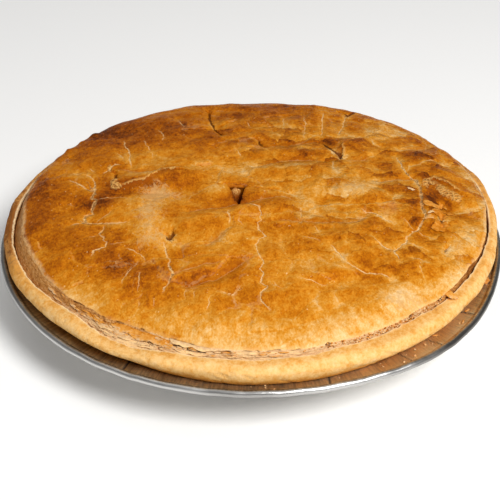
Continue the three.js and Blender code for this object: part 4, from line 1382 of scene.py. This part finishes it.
class PIE_OT_lid(PieOperator, bpy.types.Operator):
    """Makes the domed, cracked and browned lid with its vent and layered side"""

    bl_idname = "pie.lid"
    bl_label = "Lid"

    CELLS = 270
    FLANK_ROWS = 15
    VENT_ROWS = 8
    UNDER_ROW = 1.1
    UNDER_GAP = 0.4
    UNDER_INSET = 1.4
    VENT_REACH = 16
    VENT_BACK = (8.4, 9.2)
    SLOPE_STEP = 0.8

    def grow(self, shape):
        """A disc of even cells with the vent cut out, its side grown downwards and its underside closed."""
        chain = Chain()
        bm, row = chain.bm, chain.row
        bmesh.ops.create_grid(bm, x_segments=self.CELLS, y_segments=self.CELLS, size=1.0)
        u, v, _ = np.array([vert.co for vert in bm.verts]).T
        x, y = u * np.sqrt(1 - v * v / 2), v * np.sqrt(1 - u * u / 2)
        edge = shape.lid_edge(np.arctan2(y, x))
        for vert, spot in zip(bm.verts, np.column_stack((x * edge, y * edge, np.zeros(len(x))))):
            vert.co = spot
        rim = [edge for edge in bm.edges if edge.is_boundary]
        hole = self.cut_vent(bm)
        for step in range(1, self.FLANK_ROWS + 1):
            verts, rim = chain.extrude(rim)
            for vert in verts:
                vert[row] = step / self.FLANK_ROWS
                vert.co.z = -step
        verts, rim = chain.extrude(rim)
        for vert in verts:
            vert[row] = self.UNDER_ROW
            vert.co.z = -self.FLANK_ROWS - 1
        for step in range(1, self.VENT_ROWS + 1):
            verts, hole = chain.extrude(hole)
            for vert in verts:
                vert[row] = -step / self.VENT_ROWS
                vert.co.z = -(self.FLANK_ROWS + 1) * step / self.VENT_ROWS
        bmesh.ops.triangle_fill(bm, use_beauty=True, use_dissolve=False, edges=rim + hole)
        bmesh.ops.recalc_face_normals(bm, faces=bm.faces)
        return chain.piece("cracked_lid")

    def cut_vent(self, bm):
        """Cuts the triangle of the vent out of the disc and gives the edges round it."""
        middle = Vector((*np.mean(VENT, axis=0), 0))
        faces = [face for face in bm.faces if (face.calc_center_median() - middle).length < self.VENT_REACH]
        geom = list({*faces, *(e for f in faces for e in f.edges), *(v for f in faces for v in f.verts)})
        sides = []
        for first, second in zip(VENT, VENT[1:] + VENT[:1]):
            along = Vector((*second, 0)) - Vector((*first, 0))
            normal = Vector((-along.y, along.x, 0)).normalized()
            sides.append((Vector((*first, 0)), normal))
            geom = bmesh.ops.bisect_plane(
                bm, geom=geom, dist=1e-4, plane_co=sides[-1][0], plane_no=normal, clear_inner=False,
                clear_outer=False)["geom"]
        inside = [
            item for item in geom if isinstance(item, bmesh.types.BMFace)
            and all((item.calc_center_median() - spot).dot(normal) > 0 for spot, normal in sides)
        ]
        if not inside:
            raise RuntimeError("the vent cut away nothing")
        bmesh.ops.delete(bm, geom=inside, context="FACES")
        return [
            edge for edge in bm.edges if edge.is_boundary
            and ((edge.verts[0].co + edge.verts[1].co) / 2 - middle).length < self.VENT_REACH
        ]

    def execute(self, context):
        shape = Shape(context.scene.pie_sizes)
        lid = self.grow(shape)
        row = read_field(lid, "row")
        x, y, _ = places(lid).T
        angle = np.arctan2(y, x)
        edge, foot = shape.lid_edge(angle), shape.lid_foot(angle)
        share = np.minimum(np.hypot(x, y) / edge, 1)
        skin, side = LidSkin(), LidSide(shape, angle, np.clip(row, 0, 1))
        height, puffed, fields = skin.relief(x, y)
        slope = (skin.relief(x, y + self.SLOPE_STEP)[0] - height) / self.SLOPE_STEP
        top = skin.crown(shape, y, share, height) + patched(x, y, CRAGS)
        under, foot_z = shape.ledge_z + self.UNDER_GAP, shape.ledge_z + shape.FOOT_RISE
        below = row > (1 + self.UNDER_ROW) / 2
        out = np.minimum(edge + (foot - edge) * side.share**0.8 + side.loose(), foot)
        out = np.where(below, foot - self.UNDER_INSET, out)
        z = np.where(row > 0, top + (foot_z - top) * side.share, top)
        z = np.where(row < 0, top + (under - top) * -row, z)
        z = np.where(below, under, z)
        within = np.column_stack((x, y, z))
        place(lid, np.where(row[:, None] > 0, around(out, angle, z), within), PIE_MIDDLE)
        # Painted highlight along the lid's edge: at the top of the side, and on the outermost ring of the top
        lip = np.where(row > 0, 1 - smooth(0, 0.14, side.share), smooth(0.985, 1, share)) * (row >= 0)
        # Painted shade at the top of the vent's back wall
        far = smooth(*self.VENT_BACK, y)
        write_fields(
            lid, bake=skin.browning_and_shade(x, y, share, angle, puffed, slope), scuff=patched(x, y, SCUFFS),
            scaly=skin.scaling(x, y), streaks=0.06 + 0.42 * smooth(0.72, 0.95, share) * arc(angle, -80, 55),
            flank=side.share, side_tone=side.tone(), side_crumb=side.crumb(),
            fissure=np.where(row > 0, side.fissure(), 0), lip=np.clip(lip * arcs(angle, EDGE_HIGHLIGHTS), 0, 1),
            vent_wall=np.clip(-row, 0, 1),
            vent_back=np.where(row < 0, far * (1 - smooth(0.16, 0.3, -row)), 0), **fields)
        hand_over(lid, browned_finish(context.scene.pie_looks), "pastry_lid")
        return {"FINISHED"}


class PIE_OT_lid_flakes(PieOperator, bpy.types.Operator):
    """Makes the flakes at the side and on top of the lid, and the crumbs between them"""

    bl_idname = "pie.lid_flakes"
    bl_label = "Lid flakes"

    SMALL_FLAKES = 150
    FLAKE_ANGLES = (-112, 13)
    SIDE_CRUMBS = 260
    CRUMB_ANGLES = (-60, 9)
    CRUMB_SIZES = (0.18, 0.5)
    CRUMB_TONES = (0.3, 0.54, 0.68, 0.78, 0.88)
    CRUMB_SHAKING = (-0.3, 0.2)
    THICK = 0.3

    def leaf(self, chain, shape, flake, fineness=4):
        """One thin leaf that follows the side of the lid and lifts away at its lower edge."""
        first, last, share, width, lift, tone = flake
        verts, (u, v, thick) = chain.ball(fineness)
        turn = np.radians(first + (last - first) * (u + 1) / 2)
        line_x, line_y = np.cos(turn) * SIDE_R, np.sin(turn) * SIDE_R
        torn = 1 + 0.4 * RAGGED.layers(line_x, line_y, 2.5, 3)
        down = share + width * np.where(v > 0, v * torn, 0.2 * v)
        radius, height = shape.lid_flank(turn, np.clip(down, 0, 1))
        fall, half = np.clip(v, 0, 1) ** 1.5, 0.5 * self.THICK * thick
        radius = radius + 0.2 + lift * fall + half + 0.2 * FINE.layers(line_x, line_y + 3 * v, 2, 2)
        height = height + half + 0.15 * FINE.layers(line_y, line_x - 3 * v, 2, 2)
        chain.settle(verts, around(radius, turn, height), tone + 0.25 * fall)

    def dress_top(self, chain, shape):
        """Torn flakes that lie on top of the lid."""
        for x, y, long, wide, turn, lift, tone in TOP_FLAKES:
            verts, (u, v, thick) = chain.ball(4)
            rough = 1 + 0.35 * RAGGED.layers(u * 4 + x, v * 4 + y, 2.2, 3)
            du, dv = long * u * rough, wide * v * rough
            lean_x, lean_y = math.cos(math.radians(turn)), math.sin(math.radians(turn))
            px, py = x + du * lean_x - dv * lean_y, y + du * lean_y + dv * lean_x
            up = self.on_lid(shape, px, py) + lift * (0.5 - 0.5 * v) * (1 - 0.5 * u * u)
            up += 0.5 * self.THICK * (thick + 0.8)
            chain.settle(verts, np.column_stack((px, py, up)), np.full(u.shape, tone))

    @staticmethod
    def on_lid(shape, x, y):
        """Height of the skin of the lid."""
        share = np.hypot(x, y) / shape.lid_edge(np.arctan2(y, x))
        skin = LidSkin()
        return skin.crown(shape, y, share, skin.relief(x, y)[0])

    @staticmethod
    def bridge(chain):
        """The golden flake that reaches from the lid over the crust."""
        turn, radius, height, out, along, thick, dip = BRIDGE_FLAKE
        lie = Matrix.Rotation(math.radians(turn), 4, "Z") @ Matrix.Translation((radius, 0, height))
        lie = lie @ Matrix.Rotation(math.radians(dip), 4, "Y")
        verts, (x, y, z) = chain.ball(4)
        rough = 1 + 0.25 * RAGGED.layers(3 * x, 3 * y, 1.2, 2)
        flat = np.copysign(np.abs(z) ** 0.6, z) * thick / 2 + 0.15 * np.sin(4 * x)
        spots = np.column_stack((out * x * rough, along * y * rough * (1 - 0.2 * x), flat))
        chain.settle(verts, [lie @ Vector(spot) for spot in spots], 0.58 + 0.1 * x)

    def side_crumbs(self, chain, shape, draws):
        """Crumbs that cling to the crumbly stretch of the side."""
        for _ in range(self.SIDE_CRUMBS):
            turn, share = math.radians(draws.normal(*self.CRUMB_ANGLES)), draws.uniform(0.05, 0.55)
            radius, height = shape.lid_flank(np.array(turn), share)
            size = draws.uniform(*self.CRUMB_SIZES)
            spot = Vector((radius * math.cos(turn), radius * math.sin(turn), height + 0.1))
            spin, tone = draws.uniform(0, math.pi), draws.choice(self.CRUMB_TONES)
            chain.lump(spot, spin, (1.5 * size, size, 0.8 * size), tone, 1, self.CRUMB_SHAKING, draws)

    def execute(self, context):
        shape = Shape(context.scene.pie_sizes)
        draws = np.random.default_rng(51)
        chain = Chain()
        for flake in SIDE_FLAKES:
            self.leaf(chain, shape, flake)
        for _ in range(self.SMALL_FLAKES):
            middle, half = draws.normal(*self.FLAKE_ANGLES), draws.uniform(0.4, 1.8)
            share = draws.uniform(0.1, 0.75)
            self.leaf(chain, shape, (
                middle - half, middle + half, share, draws.uniform(0.04, 0.1), draws.uniform(0.1, 0.4),
                draws.uniform(0.4, 0.65) + 0.4 * share), 2)
        self.bridge(chain)
        self.side_crumbs(chain, shape, draws)
        self.dress_top(chain, shape)
        flakes = chain.piece("lid_flakes")
        write_fields(flakes, tone=read_field(flakes, "row"))
        place(flakes, places(flakes), PIE_MIDDLE)
        looks = context.scene.pie_looks
        hand_over(flakes, flake_finish(looks, "flake_pastry", looks.toasted), "pastry_lid")
        return {"FINISHED"}


class PIE_OT_crumbs(PieOperator, bpy.types.Operator):
    """Scatters the crumbs and slivers that lie on the flange"""

    bl_idname = "pie.crumbs"
    bl_label = "Crumbs"

    STRAYS = 16
    STRAY_SIZES = (0.14, 0.3)
    STRAY_ANGLES = (-95, 15)
    STRAY_RADII = (107.5, 111)
    SHAKING = (-0.25, 0.2)
    SLIVER_TONE = 0.58
    CRUMB_TONE = 0.8

    def execute(self, context):
        shape = Shape(context.scene.pie_sizes)
        draws = np.random.default_rng(31)
        chain = Chain()
        lying = list(SEEN_CRUMBS)
        for _ in range(self.STRAYS):
            size, turn = draws.uniform(*self.STRAY_SIZES), draws.uniform(*self.STRAY_ANGLES)
            radius, long = draws.uniform(*self.STRAY_RADII), size * draws.uniform(1, 2)
            lying.append((turn, radius, long, size, size * 0.6))
        for turn, radius, long, wide, thick in lying:
            x = DISH_MIDDLE[0] + radius * math.cos(math.radians(turn))
            y = DISH_MIDDLE[1] + radius * math.sin(math.radians(turn))
            spot = Vector((x, y, shape.dish_depth + thick * 0.6 + 0.1))
            tone = self.SLIVER_TONE if long > 1 else self.CRUMB_TONE
            chain.lump(spot, draws.uniform(0, math.pi), (long, wide, thick), tone, 2, self.SHAKING, draws)
        bmesh.ops.recalc_face_normals(chain.bm, faces=chain.bm.faces)
        crumbs = chain.piece("crumbs")
        write_fields(crumbs, tone=read_field(crumbs, "row"))
        place(crumbs, places(crumbs))
        looks = context.scene.pie_looks
        hand_over(crumbs, flake_finish(looks, "crumb_pastry", looks.tan))
        return {"FINISHED"}


class PIE_OT_stage(PieOperator, bpy.types.Operator):
    """Sets the pale floor, the soft lights and the camera"""

    bl_idname = "pie.stage"
    bl_label = "Stage"

    # Place in millimetres, slope in degrees, lens and sensor
    CAMERA = (-0.7, -479.9, 334.5)
    CAMERA_DOWN = 33.5
    LENS = 88.27
    SENSOR = 36.0

    # Place in metres, width and power of each light, and the place that all of them face
    LIGHTS = {"key": ((0.5, -0.76, 0.98), 0.5, 17.5), "top": ((-0.2, 0.1, 1.2), 1.0, 2.5)}
    AIM = (0, 0, 0.03)
    WHITE = (1.0, 1.0, 1.0)
    SKY = 0.2

    # Half width and drop of the floor in metres, size of its clouds in millimetres, and its glow
    FLOOR_HALF = 6.0
    FLOOR_DROP = 0.0003
    CLOUDS = 400
    GLOW = 0.1

    def execute(self, context):
        scene = context.scene
        bm = bmesh.new()
        bmesh.ops.create_grid(bm, x_segments=4, y_segments=4, size=self.FLOOR_HALF)
        bmesh.ops.translate(bm, vec=(0, 0, -self.FLOOR_DROP), verts=bm.verts)
        mesh = bpy.data.meshes.new("floor")
        bm.to_mesh(mesh)
        bm.free()
        floor = bpy.data.objects.new("floor", mesh)
        scene.collection.objects.link(floor)
        finish = Finish("pale_floor")
        cloud = finish.grain(self.CLOUDS, 2.0)
        shade = finish.mix(cloud * 0.1, scene.pie_looks.floor, scene.pie_looks.floor_cloud)
        mesh.materials.append(finish.surface(
            base_color=shade, roughness=0.9, specular_IOR_level=0.1, emission_color=self.WHITE,
            emission_strength=self.GLOW))
        for name, (spot, size, power) in self.LIGHTS.items():
            self.light(scene, name, spot, size, power)
        world = bpy.data.worlds.new("studio")
        world.use_nodes = True
        sockets = world.node_tree.nodes["Background"].inputs
        sockets["Color"].default_value = (*self.WHITE, 1.0)
        sockets["Strength"].default_value = self.SKY
        scene.world = world
        scene.view_settings.view_transform = "Standard"
        data = bpy.data.cameras.new("camera")
        data.lens = self.LENS
        data.sensor_width = self.SENSOR
        camera = bpy.data.objects.new("camera", data)
        camera.location = [value * MM for value in self.CAMERA]
        camera.rotation_euler = (math.radians(90 - self.CAMERA_DOWN), 0, 0)
        scene.collection.objects.link(camera)
        scene.camera = camera
        return {"FINISHED"}

    def light(self, scene, name, spot, size, power):
        """A soft round light that faces the pie."""
        data = bpy.data.lights.new(name, "AREA")
        data.shape = "DISK"
        data.size = size
        data.energy = power
        lamp = bpy.data.objects.new(name, data)
        lamp.location = spot
        lamp.rotation_euler = (Vector(self.AIM) - Vector(spot)).to_track_quat("-Z", "Y").to_euler()
        scene.collection.objects.link(lamp)


BUILDERS = (
    PIE_OT_foil_dish,
    PIE_OT_pastry_case,
    PIE_OT_filling,
    PIE_OT_lid,
    PIE_OT_lid_flakes,
    PIE_OT_crumbs,
    PIE_OT_stage,
)


class PIE_PT_panel(bpy.types.Panel):
    """Lists the sizes, the colours and the builders of the pie"""

    bl_idname = "PIE_PT_panel"
    bl_label = "Pie"
    bl_space_type = "VIEW_3D"
    bl_region_type = "UI"
    bl_category = "Pie"

    def draw(self, context):
        for group in (context.scene.pie_sizes, context.scene.pie_looks):
            for name in group.__annotations__:
                self.layout.prop(group, name)
        for builder in BUILDERS:
            self.layout.operator(builder.bl_idname)


CLASSES = (PieSizes, PieLooks, *BUILDERS, PIE_PT_panel)


def register():
    """Makes the builders and the properties known to Blender."""
    for cls in CLASSES:
        bpy.utils.register_class(cls)
    bpy.types.Scene.pie_sizes = PointerProperty(type=PieSizes)
    bpy.types.Scene.pie_looks = PointerProperty(type=PieLooks)


def unregister():
    """Takes the properties and the builders away again."""
    del bpy.types.Scene.pie_looks
    del bpy.types.Scene.pie_sizes
    for cls in reversed(CLASSES):
        bpy.utils.unregister_class(cls)


def main():
    register()
    bpy.ops.pie.foil_dish()
    bpy.ops.pie.pastry_case()
    bpy.ops.pie.filling()
    bpy.ops.pie.lid()
    bpy.ops.pie.lid_flakes()
    bpy.ops.pie.crumbs()
    bpy.ops.pie.stage()


if __name__ == "__main__":
    main()
